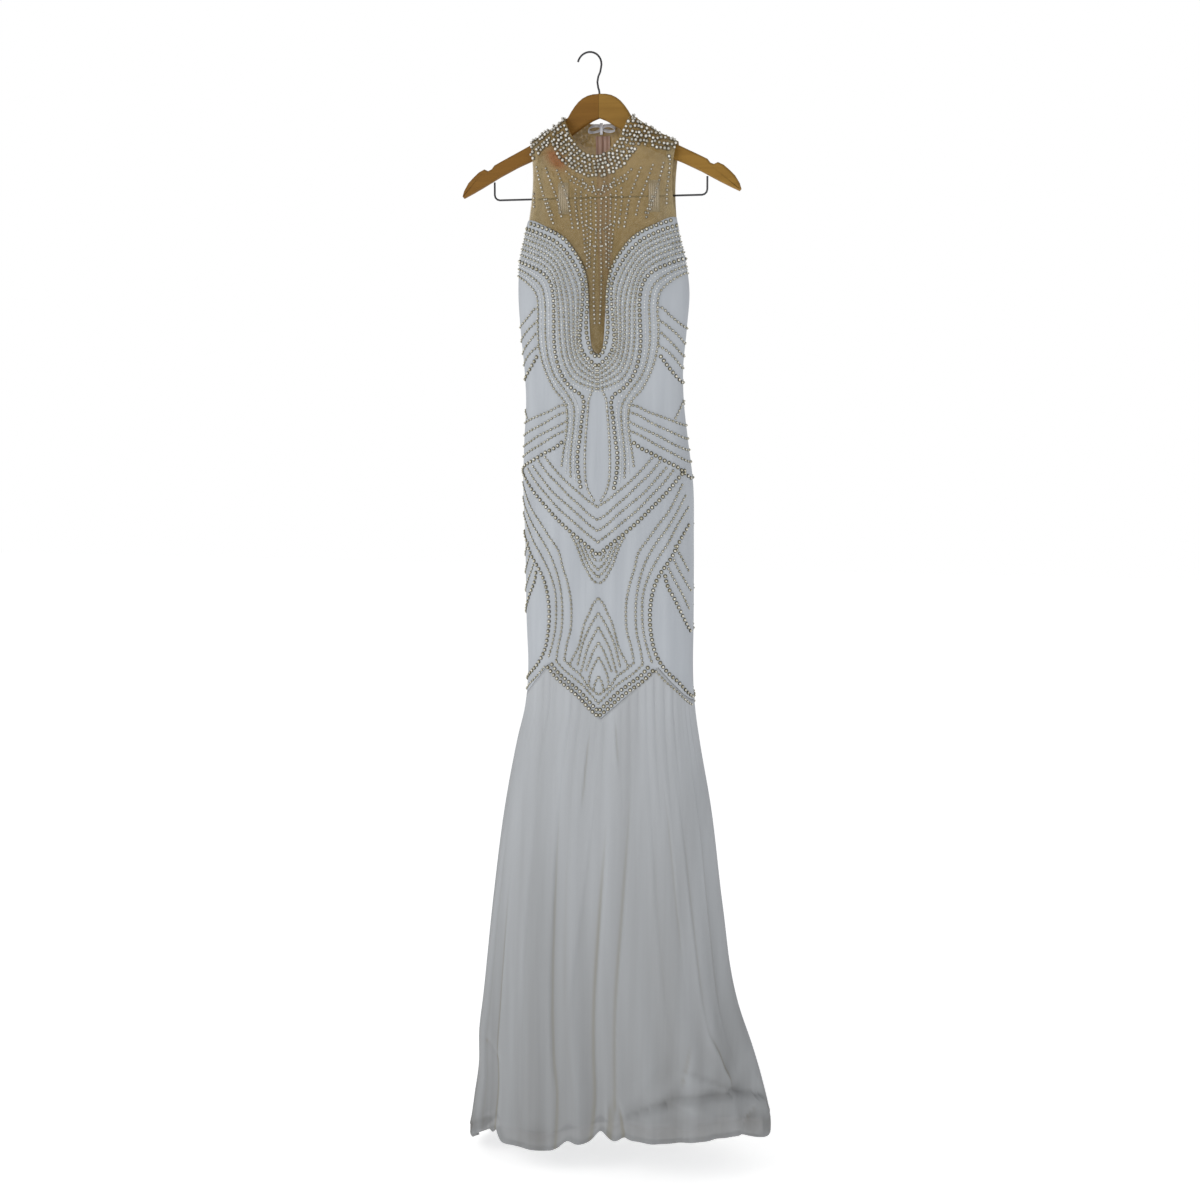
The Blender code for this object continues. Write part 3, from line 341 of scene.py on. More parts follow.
# Stretch tulle: a fine knitted net, nearly clear between its threads, so that the eye sees a tint.
# Its relief has cells of 2.4 mm, about three times the real ones, so that they show.
def makeTulle(name, thread, shade, alpha):
    made, tree, shader = newMaterial(name, thread, 0.8, Alpha=alpha, Specular_IOR_Level=0.2)
    place = addNode(tree, "ShaderNodeTexCoord")
    net = addNode(tree, "ShaderNodeTexVoronoi", {"feature": "DISTANCE_TO_EDGE"}, {"Scale": 420.0},
                  [("Vector", place, "Object")])
    cloud = addNoise(tree, place, 160.0, 4.0, Roughness=0.75)
    grain = addNode(tree, "ShaderNodeMapRange", None, {"From Min": 0.36, "From Max": 0.64},
                    [("Value", cloud, "Fac")])
    tone = paint(tree, shader, shade, thread, grain, 0)
    # paler tint beside the armholes: painted light, the background's brightness seen through the net
    tone = layOver(tree, shader, tone, finish["tulleBacklightPaint"], readMark(tree, "paintedBacklight"))
    stain = readMark(tree, "stain")
    layOver(tree, shader, tone, finish["stain"], stain)
    cover = timesPlus(tree, stain, "Fac", 0.55, alpha)
    tree.links.new(cover.outputs[0], shader.inputs["Alpha"])
    addBump(tree, shader, net, "Distance", 0.25, 0.0004)
    return made


# Crepe: a matt woven cloth with a fine pebble and a faint upright crease here and there, each crease
# darkened in its colour as painted shade
def makeCrepe():
    made, tree, shader = newMaterial("whiteCrepe", finish["crepe"], 0.78, Sheen_Weight=0.15)
    place = addNode(tree, "ShaderNodeTexCoord")
    pebble = addNoise(tree, place, 700.0, 2.0)
    crease = addStreaks(tree, place, (60.0, 20.0, 5.0), 2.0)
    # darker along the creases: painted shade
    paint(tree, shader, finish["crepeCreaseShadePaint"], finish["crepe"], crease)
    soft = addBump(tree, shader, crease, "Fac", 0.35, 0.004)
    addBump(tree, shader, pebble, "Fac", 0.3, 0.0003, soft)
    return made


# Chiffon: thin and soft; a tone kept in the mesh paints shade into its folds, light onto their ridges,
# and shade lower down and near the hem, and faint streaks and broad panels show its upright pulls
def makeChiffon(name, alpha):
    made, tree, shader = newMaterial(name, finish["chiffonPaintedLight"], 0.85, Alpha=alpha, Specular_IOR_Level=0.2)
    place = addNode(tree, "ShaderNodeTexCoord")
    streak = addStreaks(tree, place, (70.0, 30.0, 2.2), 3.0)
    panel = addStreaks(tree, place, (24.0, 10.0, 1.3), 1.0)
    pull = timesPlus(tree, streak, "Fac", 0.26, -0.13)
    layer = timesPlus(tree, panel, "Fac", 0.42, -0.21)
    both = addNode(tree, "ShaderNodeMath", {"operation": "ADD"}, None, [(0, pull, 0), (1, layer, 0)])
    level = addNode(tree, "ShaderNodeMath", {"operation": "ADD", "use_clamp": True}, None,
                    [(0, readMark(tree, "paintedShadeTone"), "Fac"), (1, both, 0)])
    # painted light and shade from the mesh's tone, between a painted shade colour and a painted light colour
    tone = paint(tree, shader, finish["chiffonPaintedShade"], finish["chiffonPaintedLight"], level, 0)
    # narrow painted shadows in the creases
    layOver(tree, shader, tone, finish["chiffonPaintedCreaseShadow"], readMark(tree, "creaseShadowPaint"))
    cover = timesPlus(tree, readMark(tree, "sheer"), "Fac", -0.14, alpha)
    tree.links.new(cover.outputs[0], shader.inputs["Alpha"])
    addBump(tree, shader, streak, "Fac", 0.35, 0.002)
    return made


# Plain woven lining: flat white with no shine
def makeLining():
    made, tree, shader = newMaterial("whiteLining", finish["lining"], 0.85)
    cloud = addNoise(tree, addNode(tree, "ShaderNodeTexCoord"), 12.0, 2.0)
    paint(tree, shader, finish["liningShade"], finish["lining"], cloud)
    return made


# Beads: each one has its own tone, kept in the mesh, so that a row doesn't look printed
def makeBead(name, dark, light, roughness, metallic=0.0, **sockets):
    made, tree, shader = newMaterial(name, light, roughness, metallic, **sockets)
    paint(tree, shader, dark, light, readMark(tree, "tone"))
    return made


# Varnished wood: grain streaks along the hanger, small pores and a thin clear coat on top
def makeWood(name, dark, light):
    made, tree, shader = newMaterial(name, light, 0.5, Coat_Weight=0.05, Coat_Roughness=0.25,
                                     Specular_IOR_Level=0.15)
    place = addNode(tree, "ShaderNodeTexCoord")
    grain = addStreaks(tree, place, (9.0, 60.0, 120.0), 4.0, Distortion=0.6)
    pores = addStreaks(tree, place, (60.0, 300.0, 900.0), 2.0)
    paint(tree, shader, dark, light, grain)
    addBump(tree, shader, pores, "Fac", 0.15, 0.0003)
    return made


# Metal: polished wire or sheet with a little handling haze
def makeMetal(name, colour, roughness, metallic=1.0):
    made, tree, shader = newMaterial(name, colour, roughness, metallic)
    haze = addNoise(tree, addNode(tree, "ShaderNodeTexCoord"), 180.0, 2.0)
    spread = addNode(tree, "ShaderNodeMapRange", None,
                     {"To Min": roughness * 0.7, "To Max": roughness * 1.5}, [("Value", haze, "Fac")])
    tree.links.new(spread.outputs[0], shader.inputs["Roughness"])
    return made


# Narrow woven tape and ribbon: upright bands of two tones, the lighter ones painted sheen along its length;
# a wave of scale 1 repeats every pi / 10 metres
def makeTape(name, dark, light, bandMillimetres, roughness):
    made, tree, shader = newMaterial(name, light, roughness)
    place = addNode(tree, "ShaderNodeTexCoord")
    bands = addNode(tree, "ShaderNodeTexWave", {"bands_direction": "X"},
                    {"Scale": 100.0 * math.pi / bandMillimetres, "Distortion": 1.0},
                    [("Vector", place, "Object")])
    # bands of painted sheen
    paint(tree, shader, dark, light, bands)
    addBump(tree, shader, bands, "Fac", 0.3, 0.0003)
    return made


tulle = makeTulle("stretchTulle", finish["tulleThread"], finish["tulleShade"], 0.31)
# The back net is a paler copy of the front net: painted light that lifts the shade inside the dress
backTulleLitPaint = makeTulle("backStretchTulleLitPaint", finish["backTulleLitPaint"], finish["backTulleLitPaintDark"], 0.80)
# The armhole facings get a paler copy of the net: painted light that lifts their shade
armholeNetLitPaint = makeTulle("foldedTulleLitPaint", "#CDBB94", "#B8A67E", 0.70)
crepe = makeCrepe()
chiffon = makeChiffon("whiteChiffon", 0.90)
lining = makeLining()
pearlCream = makeBead("creamGlassPearl", "#B4AE98", "#E9E5D6", 0.2, Coat_Weight=0.6, Coat_Roughness=0.1)
pearlSilver = makeBead("silverGlassPearl", "#A8A499", "#EAE7E0", 0.18, Coat_Weight=0.7, Coat_Roughness=0.08)
# dark rings round the fine pearls: partly their casing's colour, partly painted shade
fineCasing = makeBead("smokedGlassCasing", "#5F5A48", "#858069", 0.4)
beadCasing = makeBead("antiqueGoldCasing", "#3F3A24", "#655D3D", 0.4)
# dark rings round the silver pearls: painted shade
pearlShadeRing = makeBead("smokedSilverCasing", "#453E2E", "#665E49", 0.4)
clearBead = makeBead("clearGlassBead", "#C9CAC6", "#F4F5F3", 0.15, Coat_Weight=0.5, Coat_Roughness=0.1)
seedBead = makeBead("smokedSeedBead", "#85836F", "#D2D0C3", 0.25)
woodDark = makeWood("varnishedBeechDark", "#6E4A16", "#8C6326")
woodLight = makeWood("varnishedBeechLight", "#7C5A22", "#A07A38")
wireSteel = makeMetal("darkSteelWire", "#4A4A4C", 0.28)
clipSteel = makeMetal("brightSteelSheet", "#A4A3A0", 0.35, 0.3)
# near-white steel ribs: painted highlights
ribPaintedGlint = makeMetal("steelRibPaintedGlint", "#FAFAF8", 0.3, 0.1)
zipMetal = makeMetal("paleZipMetal", "#B9A98A", 0.3)
zipTape = makeTape("nudeZipTape", "#A07D6C", "#BFA091", 7.5325, 0.8)
ribbon = makeTape("satinRibbon", "#C9CAD0", "#E4E5EA", 12.554, 0.45)
stitchThread = newMaterial("nudeThread", "#A08A5E", 0.7)[0]
whiteThread = newMaterial("whiteThread", "#C9CDD2", 0.7)[0]

print("scene: mesh yoke")

yokeValues = {"thickness": 0.0006, "columns": 131, "rows": 60, "rowCurve": 1.5}


def armholePull(share, v):
    return shape["armholeBow"] * share**3 * np.sin(math.pi * v)


def neckFrontDrop(x):
    across = np.clip(np.abs(x - shape["hangerX"]) / shape["neckHalf"], 0.0, 1.0)
    shoulder = shoulderDrop(shape["hangerX"] + shape["neckHalf"])
    return shape["neckFrontDrop"] + (shoulder - shape["neckFrontDrop"]) * across ** shape["neckCurve"]


def neckBackDrop(x):
    across = np.clip(np.abs(x - shape["hangerX"]) / shape["neckHalf"], 0.0, 1.0)
    shoulder = shoulderDrop(shape["hangerX"] + shape["neckHalf"])
    return shoulder + (shape["neckBackDrop"] - shoulder) * (1 - across**2)


# Front edge read along the table's own steps, so that the sharp plunge keeps its shape
def frontEdge(step):
    knots = np.arange(len(neckEdge))
    out = smoothRead(np.abs(step), knots, neckEdge[:, 0])
    drop = smoothRead(np.abs(step), knots, neckEdge[:, 1])
    shift = 0.0015 * np.interp(drop, (0.247, 0.300), (1.0, 0.0))
    return np.sign(step) * out + centreLine[0, 1] + shift, drop, out


# Front yoke: straight columns from the neck or shoulder down to the bodice's edge
def yokeFrontGrid():
    last = len(neckEdge) - 1
    step = np.linspace(-last, last, yokeValues["columns"])
    xBottom, bottom, out = frontEdge(step)
    sign = np.where(step >= 0, 1.0, -1.0)
    hangerX, neckHalf = shape["hangerX"], shape["neckHalf"]
    reach = np.where(sign > 0, shape["shoulderRight"], shape["shoulderLeft"])
    share = np.clip((out - neckHalf) / (neckEdge[-1, 0] - neckHalf), 0.0, 1.0)
    xTop = hangerX + sign * np.where(out <= neckHalf, out, neckHalf + (reach - neckHalf) * share)
    onNeck = np.abs(xTop - hangerX) < neckHalf - 1e-6
    top = np.where(onNeck, neckFrontDrop(xTop), shoulderDrop(xTop))
    v = np.linspace(0.0, 1.0, yokeValues["rows"])[:, None] ** yokeValues["rowCurve"]
    pull = armholePull(np.clip(out / neckEdge[-1, 0], 0, 1), v)
    x = xTop + (xBottom - xTop) * v - sign * pull
    drop = top + (bottom - top) * v
    grid = yokePoint(x, drop, np.full_like(x, -1.0))
    grid[0, ~onNeck, 1] = -shape["seamGap"] / 2
    return grid, onNeck


backValues = {"edgeDrop": 0.460, "corner": (0.96, 0.258), "curve": 1.4, "neckShare": 0.44}


def backEdgeDrop(share):
    cornerShare, cornerDrop = backValues["corner"]
    edge, underarm = backValues["edgeDrop"], shape["underarmDrop"]
    inner = edge - (edge - cornerDrop) * np.clip(share / cornerShare, 0, None) ** backValues["curve"]
    outer = cornerDrop + (underarm - cornerDrop) * (share - cornerShare) / (1 - cornerShare)
    return np.where(share <= cornerShare, inner, outer)


# Half of the mesh back, from the zip out to the armhole
def yokeBackGrid(sign):
    share = np.linspace(0.0, backValues["corner"][0], yokeValues["columns"] // 2)
    bottom = backEdgeDrop(share)
    centre, half = ringAt(bottom)[:2]
    neckShare, neckHalf, hangerX = backValues["neckShare"], shape["neckHalf"], shape["hangerX"]
    reach = shape["shoulderRight"] if sign > 0 else shape["shoulderLeft"]
    out = (share - neckShare) / (share[-1] - neckShare)
    across = np.where(share <= neckShare, neckHalf * share / neckShare, neckHalf + (reach - neckHalf) * out)
    xTop = hangerX + sign * across
    onNeck = across < neckHalf - 1e-6
    top = np.where(onNeck, neckBackDrop(xTop), shoulderDrop(xTop))
    v = np.linspace(0.0, 1.0, yokeValues["rows"])[:, None] ** yokeValues["rowCurve"]
    x = xTop + (centre + sign * half * share - xTop) * v - sign * armholePull(share, v)
    x[:, 0] += sign * shape["seamGap"] / 2
    drop = top + (bottom - top) * v
    grid = yokePoint(x, drop, np.full_like(x, 1.0))
    grid[0, ~onNeck, 1] = shape["seamGap"] / 2
    return grid if sign < 0 else grid[:, ::-1]


markValues = {
    "stainPlace": (-0.0470, 0.1580),
    "stainSpread": (0.0135, 0.0075),
    "stainPeak": 0.95,
    "stainMost": 0.62,
    "backlightPaintStart": 0.62,
    "backlightPaintWidth": 0.30,
    "backlightPaintMost": 0.55,
}


# Reddish stain below the left shoulder: a bell slanted by 45 degrees, cut off flat at its top
def stainMark(grid):
    across = grid[..., 0] - markValues["stainPlace"][0]
    down = -grid[..., 2] - markValues["stainPlace"][1]
    along, beside = (across + down) * 0.707, (down - across) * 0.707
    spreadAlong, spreadBeside = markValues["stainSpread"]
    bell = np.exp(-0.5 * ((along / spreadAlong) ** 2 + (beside / spreadBeside) ** 2))
    return np.clip(markValues["stainPeak"] * bell, 0, markValues["stainMost"]) * (grid[..., 1] < 0)


# The net is painted paler beside the armholes: painted light for the bright background seen through it where
# there is little behind it
def paintedBacklightMark(grid):
    centre, half = ringAt(-grid[..., 2])[:2]
    share = np.abs(grid[..., 0] - centre) / half
    return markValues["backlightPaintMost"] * np.clip((share - markValues["backlightPaintStart"]) / markValues["backlightPaintWidth"], 0, 1)


frontGrid, frontOnNeck = yokeFrontGrid()
yokeFront = addSheet("yokeFront", frontGrid, tulle, yokeValues["thickness"],
                     {"stain": stainMark(frontGrid), "paintedBacklight": paintedBacklightMark(frontGrid)},
                     replaces=("yoke_front",), slot="nude_mesh")
backGrids = {"left": yokeBackGrid(-1), "right": yokeBackGrid(1)}
for side, grid in backGrids.items():
    addSheet(f"yokeBack.{side}", grid, backTulleLitPaint, yokeValues["thickness"],
                               {"stain": np.zeros(grid.shape[:2]), "paintedBacklight": paintedBacklightMark(grid)},
                               replaces=(f"yoke_back_{side}",), slot="nude_mesh")

print("scene: bodice")

bodiceValues = {
    "thickness": 0.0009,
    "columnsPerStep": 5,
    "rows": 112,
    "backColumns": 50,
    "backRows": 88,
    "sideTurns": (79.0, 84.5, 90.0),
    "sideDrops": (0.2530, 0.2600),
}
# Where each front column meets the seam, as a share of the half width
seamShares = np.array((
    0.0, 0.055, 0.11, 0.165, 0.22, 0.28, 0.34, 0.40, 0.46, 0.52, 0.585, 0.655, 0.72, 0.80, 0.88, 0.95, 1.0
))


# Front bodice: the edge's own columns, and three more at each underarm, run down to the seam
def bodiceFrontGrid():
    last = len(neckEdge) - 1
    xTop, top, _ = frontEdge(np.arange(-last, last + 1))
    centre, half = ringAt(top)[:2]
    turn = np.arcsin(np.clip((xTop - centre) / half, -0.999, 0.999))
    side = np.radians(bodiceValues["sideTurns"])
    sideDrop = np.array((*bodiceValues["sideDrops"], shape["underarmDrop"]))
    turn = np.concatenate([-side[::-1], turn, side])
    top = np.concatenate([sideDrop[::-1], top, sideDrop])
    low = np.arcsin(np.concatenate([-seamShares[:0:-1], seamShares]))
    knots = np.arange(len(turn))
    at = np.linspace(0, len(turn) - 1, (len(turn) - 1) * bodiceValues["columnsPerStep"] + 1)
    turn, top, low = smoothRead(at, knots, turn), smoothRead(at, knots, top), smoothRead(at, knots, low)
    v = np.linspace(0.0, 1.0, bodiceValues["rows"])[:, None]
    angle = turn + (low - turn) * v
    drop = top + (seamDrop(low) - shape["seamGap"] - top) * v
    grid = bodicePoint(angle, drop)
    grid[:, 0, 1] = grid[:, -1, 1] = -shape["seamGap"] / 2
    return grid


# Half of the back bodice, from the zip out to the side seam
def bodiceBackGrid(sign):
    share = np.sin(np.linspace(0.0, math.pi / 2, bodiceValues["backColumns"]))
    top = backEdgeDrop(share) + shape["seamGap"]
    turn = np.arcsin(np.clip(share, 0, 1))
    v = np.linspace(0.0, 1.0, bodiceValues["backRows"])[:, None]
    drop = top + (seamDrop(turn) - shape["seamGap"] - top) * v
    grid = bodicePoint(math.pi - sign * turn + 0 * drop, drop)
    grid[:, 0, 0] += sign * shape["seamGap"] / 2
    grid[:, -1, 1] = shape["seamGap"] / 2
    return grid if sign < 0 else grid[:, ::-1]


bodiceFront = addSheet("bodiceFront", bodiceFrontGrid(), crepe, bodiceValues["thickness"],
                       replaces=("bodice_front",), slot="white_crepe")
for side, sign in (("left", -1), ("right", 1)):
    addSheet(f"bodiceBack.{side}", bodiceBackGrid(sign), crepe, bodiceValues["thickness"],
                                 replaces=(f"bodice_back_{side}",), slot="white_crepe")

print("scene: skirt")

# Deep folds: angle from the front centre, depth at the hem, half spread in degrees, drop where it starts
folds = np.array((
    (-97.0, 0.016, 7.0, 1.16), (-76.0, 0.013, 6.0, 1.12), (-57.0, 0.020, 6.5, 1.04),
    (-36.0, 0.012, 6.0, 1.20), (-19.0, 0.014, 5.0, 1.08), (-4.0, 0.026, 5.5, 1.02),
    (12.0, 0.012, 5.0, 1.10), (29.0, 0.017, 6.5, 1.14), (50.0, 0.013, 6.0, 1.24),
    (70.0, 0.017, 6.5, 1.06), (92.0, -0.013, 7.0, 1.40), (112.0, 0.017, 7.0, 1.10),
    (133.0, 0.014, 6.5, 1.18), (152.0, 0.020, 6.5, 1.05), (172.0, 0.014, 6.0, 1.16),
    (192.0, 0.022, 6.5, 1.03), (213.0, 0.013, 6.0, 1.20), (233.0, 0.018, 7.0, 1.08),
    (249.0, 0.011, 5.0, 1.22),
))
# Hem: angle from the front centre, drop
hem = np.array((
    (-90.0, 1.735), (-78.0, 1.732), (-66.0, 1.714), (-55.0, 1.698), (-38.0, 1.708), (-22.0, 1.710),
    (-12.0, 1.700), (-4.0, 1.692), (6.0, 1.678), (24.0, 1.676), (44.0, 1.668), (62.0, 1.668),
    (78.0, 1.682), (84.0, 1.684), (90.0, 1.666), (112.0, 1.690), (138.0, 1.690), (160.0, 1.708),
    (182.0, 1.698), (206.0, 1.722), (232.0, 1.716), (254.0, 1.738), (270.0, 1.735),
))
# Creases: angle and drop at both ends, step across it, width, both in mm; a positive step stands out
# on its left
creases = np.array((
    (-6.5, 0.99, -9.5, 1.170, 3.0, 2.0), (8.0, 0.99, 12.5, 1.100, 2.5, 2.0),
    (-23.0, 1.02, -18.2, 1.690, 4.5, 3.0), (8.5, 1.06, -3.2, 1.680, -4.5, 4.0),
    (23.0, 1.00, 5.4, 1.650, -3.5, 3.5), (-53.0, 1.20, -45.5, 1.700, -4.5, 4.0),
    (-15.6, 1.02, -9.9, 1.640, -2.5, 6.0), (49.0, 1.05, 57.5, 1.560, 3.0, 3.0),
    (55.0, 1.490, 67.0, 1.602, 6.0, 3.0), (30.0, 1.550, 68.0, 1.600, 6.0, 3.5),
    (-68.0, 1.535, -42.0, 1.572, -3.0, 4.0), (-45.0, 1.655, -70.0, 1.694, 5.0, 3.0),
    (48.0, 1.490, 33.0, 1.600, -4.0, 5.0), (29.0, 1.02, 34.0, 1.580, 2.5, 4.0),
    (-37.0, 1.00, -34.0, 1.640, 2.5, 4.5), (66.0, 1.02, 72.0, 1.600, 3.5, 4.0),
    (-64.0, 1.05, -62.0, 1.66, 3.0, 4.0), (2.0, 1.00, -12.0, 1.52, 2.0, 3.0),
    (40.0, 1.01, 47.0, 1.46, -2.0, 3.0), (-80.0, 1.05, -76.0, 1.64, 3.0, 4.0),
    (14.0, 1.635, 46.0, 1.640, 3.0, 3.0), (60.0, 1.66, 82.0, 1.62, -4.0, 3.0),
    (22.0, 1.60, 44.0, 1.625, -3.0, 4.0), (7.0, 1.60, 9.5, 1.66, -4.0, 2.0),
    (3.0, 1.60, 2.0, 1.66, 3.0, 2.0), (168.0, 1.05, 172.0, 1.66, 3.5, 4.0),
    (196.0, 1.05, 190.0, 1.66, -4.0, 4.0), (140.0, 1.05, 136.0, 1.64, 3.0, 4.0),
    (222.0, 1.05, 228.0, 1.66, 3.0, 4.0),
))
# Upper edge of the turned-up band at the lower right: angle from the front centre, drop
rollLine = np.array(((-90.0, 1.66), (4.0, 1.645), (18.0, 1.622), (33.0, 1.603), (50.0, 1.598), (65.5, 1.598),
                     (78.0, 1.612), (90.0, 1.632), (270.0, 1.66)))
skirtValues = {
    "thickness": 0.0008,
    "columns": {"front": 301, "back": 181},
    "rows": {"front": 104, "back": 80},
    "liningColumns": 90,
    "liningRows": 40,
    "foldEnd": 1.70,
    "foldCurve": 1.3,
    "gathersPerHalf": 26,
    "gatherShares": (0.535, 0.465),
    "gatherDepth": 0.0016,
    "gatherDepths": (-0.1, 1.4),
    "gatherLength": (0.02, 0.22),
    "gatherStart": 0.012,
    "gatherDrift": 0.30,
    "gatherLean": 1.6,
    "ridge": (0.8, 0.6),
    "ripples": ((17, 0.5, 21), (29, 0.35, 22), (47, 0.15, 23)),
    "rippleDepth": 0.0045,
    "rippleStart": 1.05,
    "rippleGrowth": 0.5,
    "rippleLean": 0.10,
    "liningGap": 0.0060,
    "liningTop": 0.006,
    "liningRise": 0.030,
    "liningWave": 0.004,
    "liningRipple": 0.4,
    "seed": 7,
    "level": 0.80,
    "fallShadePaint": 0.46,
    "reliefLightAndShadePaint": 42.0,
    "hemShadePaint": 0.16,
    "hemShadeBlots": (0.018, 0.012),
    "sheerHem": (0.024, 0.006, 0.004),
    "fallFrom": 1.0,
    "fallOver": 0.65,
    "creaseShadowStrength": 620.0,
    "creaseShadowStart": 0.16,
    "creaseShadowMost": 0.45,
    "creaseScale": 0.5,
    "creaseEnds": (0.45, 0.30),
    "creaseReach": 3.5,
    "meanRadius": 0.21,
    "hemCreases": 1.63,
    "scallops": ((-13.0, 0.012, 2.0), (-0.5, 0.020, 2.2), (-46.0, 0.014, 2.0), (9.0, 0.006, 1.5)),
    "hemWander": 0.0022,
    "hemRoom": 0.008,
    "hemTurns": (30.0, 60.0, 90.0, 120.0),
    "hemRadii": (0.0030, 0.0060),
    "hemReturn": (0.008, 0.002),
}
# Turned-up band: heights, the distances over which the dip and the facets above it fade, and the
# angles and spreads of its two ends in degrees
bandValues = {
    "puff": 0.0090,
    "dip": 0.0045,
    "dipReach": 0.014,
    "crease": 0.0018,
    "facets": 0.0028,
    "facetsAbove": 0.035,
    "facetsReach": 0.030,
    "from": (6.0, 14.0),
    "to": (91.0, 6.0),
}


# Degrees from the front centre, from -90 round to 270
def turnedDegrees(angle):
    return (np.degrees(angle) + 90.0) % 360.0 - 90.0


def hemDrop(angle):
    return smoothRead(turnedDegrees(angle), hem[:, 0], hem[:, 1])


# Deep folds: each a bell in angle that deepens from its start to the hem
def foldHeight(angle, drop):
    height = np.zeros_like(angle + drop)
    for centre, depth, spread, start in folds:
        off = (np.degrees(angle) - centre + 180.0) % 360.0 - 180.0
        grown = np.clip((drop - start) / (skirtValues["foldEnd"] - start), 0.0, 1.0)
        grown = grown ** skirtValues["foldCurve"]
        height = height - depth * grown * np.exp(-0.5 * (off / spread) ** 2)
    return height


# Values that wander smoothly round the skirt: a seeded list read as a closed curve
def wander(angle, count, low, high, seed):
    values = np.random.default_rng(seed).uniform(low, high, count)
    knots = np.linspace(0.0, 2 * math.pi, count + 1)
    return smoothRead(angle % (2 * math.pi), knots, np.append(values, values[0]))


# Gathers: narrow valleys between round ridges under the seam, each with its own depth and length
def gatherHeight(angle, drop):
    below = drop - seamDrop(angle)
    sine = np.abs(np.sin(angle))
    peak = math.asin(shape["peakAcross"])
    turn = np.arcsin(np.clip(sine, 0, 1))
    count, seed = skirtValues["gathersPerHalf"] / 2, skirtValues["seed"]
    innerShare, outerShare = skirtValues["gatherShares"]
    inner = turn / peak * count * innerShare
    outer = count * innerShare + (turn - peak) / (math.pi / 2 - peak) * count * outerShare
    most, lean = skirtValues["gatherDrift"], skirtValues["gatherLean"]
    drift = wander(angle, 23, -most, most, seed) + below * wander(angle, 17, -lean, lean, 3)
    phase = 2 * math.pi * (np.where(turn < peak, inner, outer) + drift)
    curve, middle = skirtValues["ridge"]
    ridge = np.abs(np.cos(phase / 2)) ** curve - middle
    longest = wander(angle, 31, *skirtValues["gatherLength"], seed + 1)
    deep = wander(angle, 47, *skirtValues["gatherDepths"], seed + 2)
    fade = np.clip(below / skirtValues["gatherStart"], 0.0, 1.0) * np.exp(-((below / longest) ** 2))
    return skirtValues["gatherDepth"] * ridge * deep * fade


# Long soft ripples that grow down the skirt and lean a little
def rippleHeight(angle, drop):
    below = np.clip((drop - skirtValues["rippleStart"]) / skirtValues["rippleGrowth"], 0.0, 1.0)
    lean = skirtValues["rippleLean"] * (drop - 1.3)
    waves = np.zeros_like(angle + drop)
    for count, share, seed in skirtValues["ripples"]:
        waves = waves + share * wander(angle + lean + 0 * drop, count, -1.0, 1.0, seed)
    return skirtValues["rippleDepth"] * below * waves


# The lower right is turned up: a puffed band between the roll line and the hem, a dip above it, and
# waves that crumple the band and the cloth over it
def crumpleHeight(angle, drop):
    degrees = turnedDegrees(angle)
    line = np.interp(degrees, rollLine[:, 0], rollLine[:, 1])
    tall = hemDrop(angle) - line
    share = (drop - line) / tall
    (first, rise), (last, fall) = bandValues["from"], bandValues["to"]
    area = np.clip((degrees - first) / rise, 0, 1) * np.clip((last - degrees) / fall, 0, 1)
    puff = bandValues["puff"] * np.clip(share * (1.15 - share) * 4, 0, 1) ** 0.5 * (share > 0)
    above = np.minimum(share, 0) * tall / bandValues["dipReach"]
    dip = -bandValues["dip"] * np.exp(-(above**2)) * (share <= 0)
    waves = np.sin(degrees * 0.50 + share * 4.0) * np.sin(degrees * 0.23 - share * 3.0 + 1.3)
    crease = bandValues["crease"] * waves * np.clip(share, 0, 1)
    near = np.exp(-(((drop - line + bandValues["facetsAbove"]) / bandValues["facetsReach"]) ** 2))
    facets = near * bandValues["facets"] * np.sin(degrees * 0.33 + (drop - line) * 70.0)
    return area * (puff + dip + crease + facets)


# Creases: across each line the cloth steps from low to high like tanh, and fades out along it and
# beside it; lines that reach the hem keep their lower end
def creaseHeight(angle, drop):
    degrees = turnedDegrees(angle)
    height = np.zeros_like(angle + drop)
    radius = skirtValues["meanRadius"] * math.pi / 180
    atStart, atEnd = skirtValues["creaseEnds"]
    for fromAngle, fromDrop, toAngle, toDrop, step, width in creases:
        run = np.array([(toAngle - fromAngle) * radius, toDrop - fromDrop])
        length = np.hypot(*run)
        run = run / length
        across, down = (degrees - fromAngle) * radius, drop - fromDrop
        along, beside = across * run[0] + down * run[1], across * run[1] - down * run[0]
        start = np.clip(along / length / atStart, 0, 1)
        end = np.clip((length - along) / length / atEnd, 0, 1)
        fade = start**2 * (3 - 2 * start) * (1.0 if toDrop > skirtValues["hemCreases"] else end)
        wide = width / 1000
        shaped = -np.tanh(beside / wide) * np.exp(-np.abs(beside) / (skirtValues["creaseReach"] * wide))
        height = height + skirtValues["creaseScale"] * step / 1000 * fade * shaped
    return height


# Height above its own surroundings: the surface less its average over a window of rows or columns
def standOut(height, window, axis):
    pad = [(0, 0), (0, 0)]
    pad[axis] = (window, window)
    total = np.cumsum(np.pad(height, pad, mode="edge"), axis=axis)
    size = height.shape[axis]
    upper = np.take(total, np.arange(2 * window, 2 * window + size), axis=axis)
    lower = np.take(total, np.arange(0, size), axis=axis)
    return height - (upper - lower) / (2 * window)


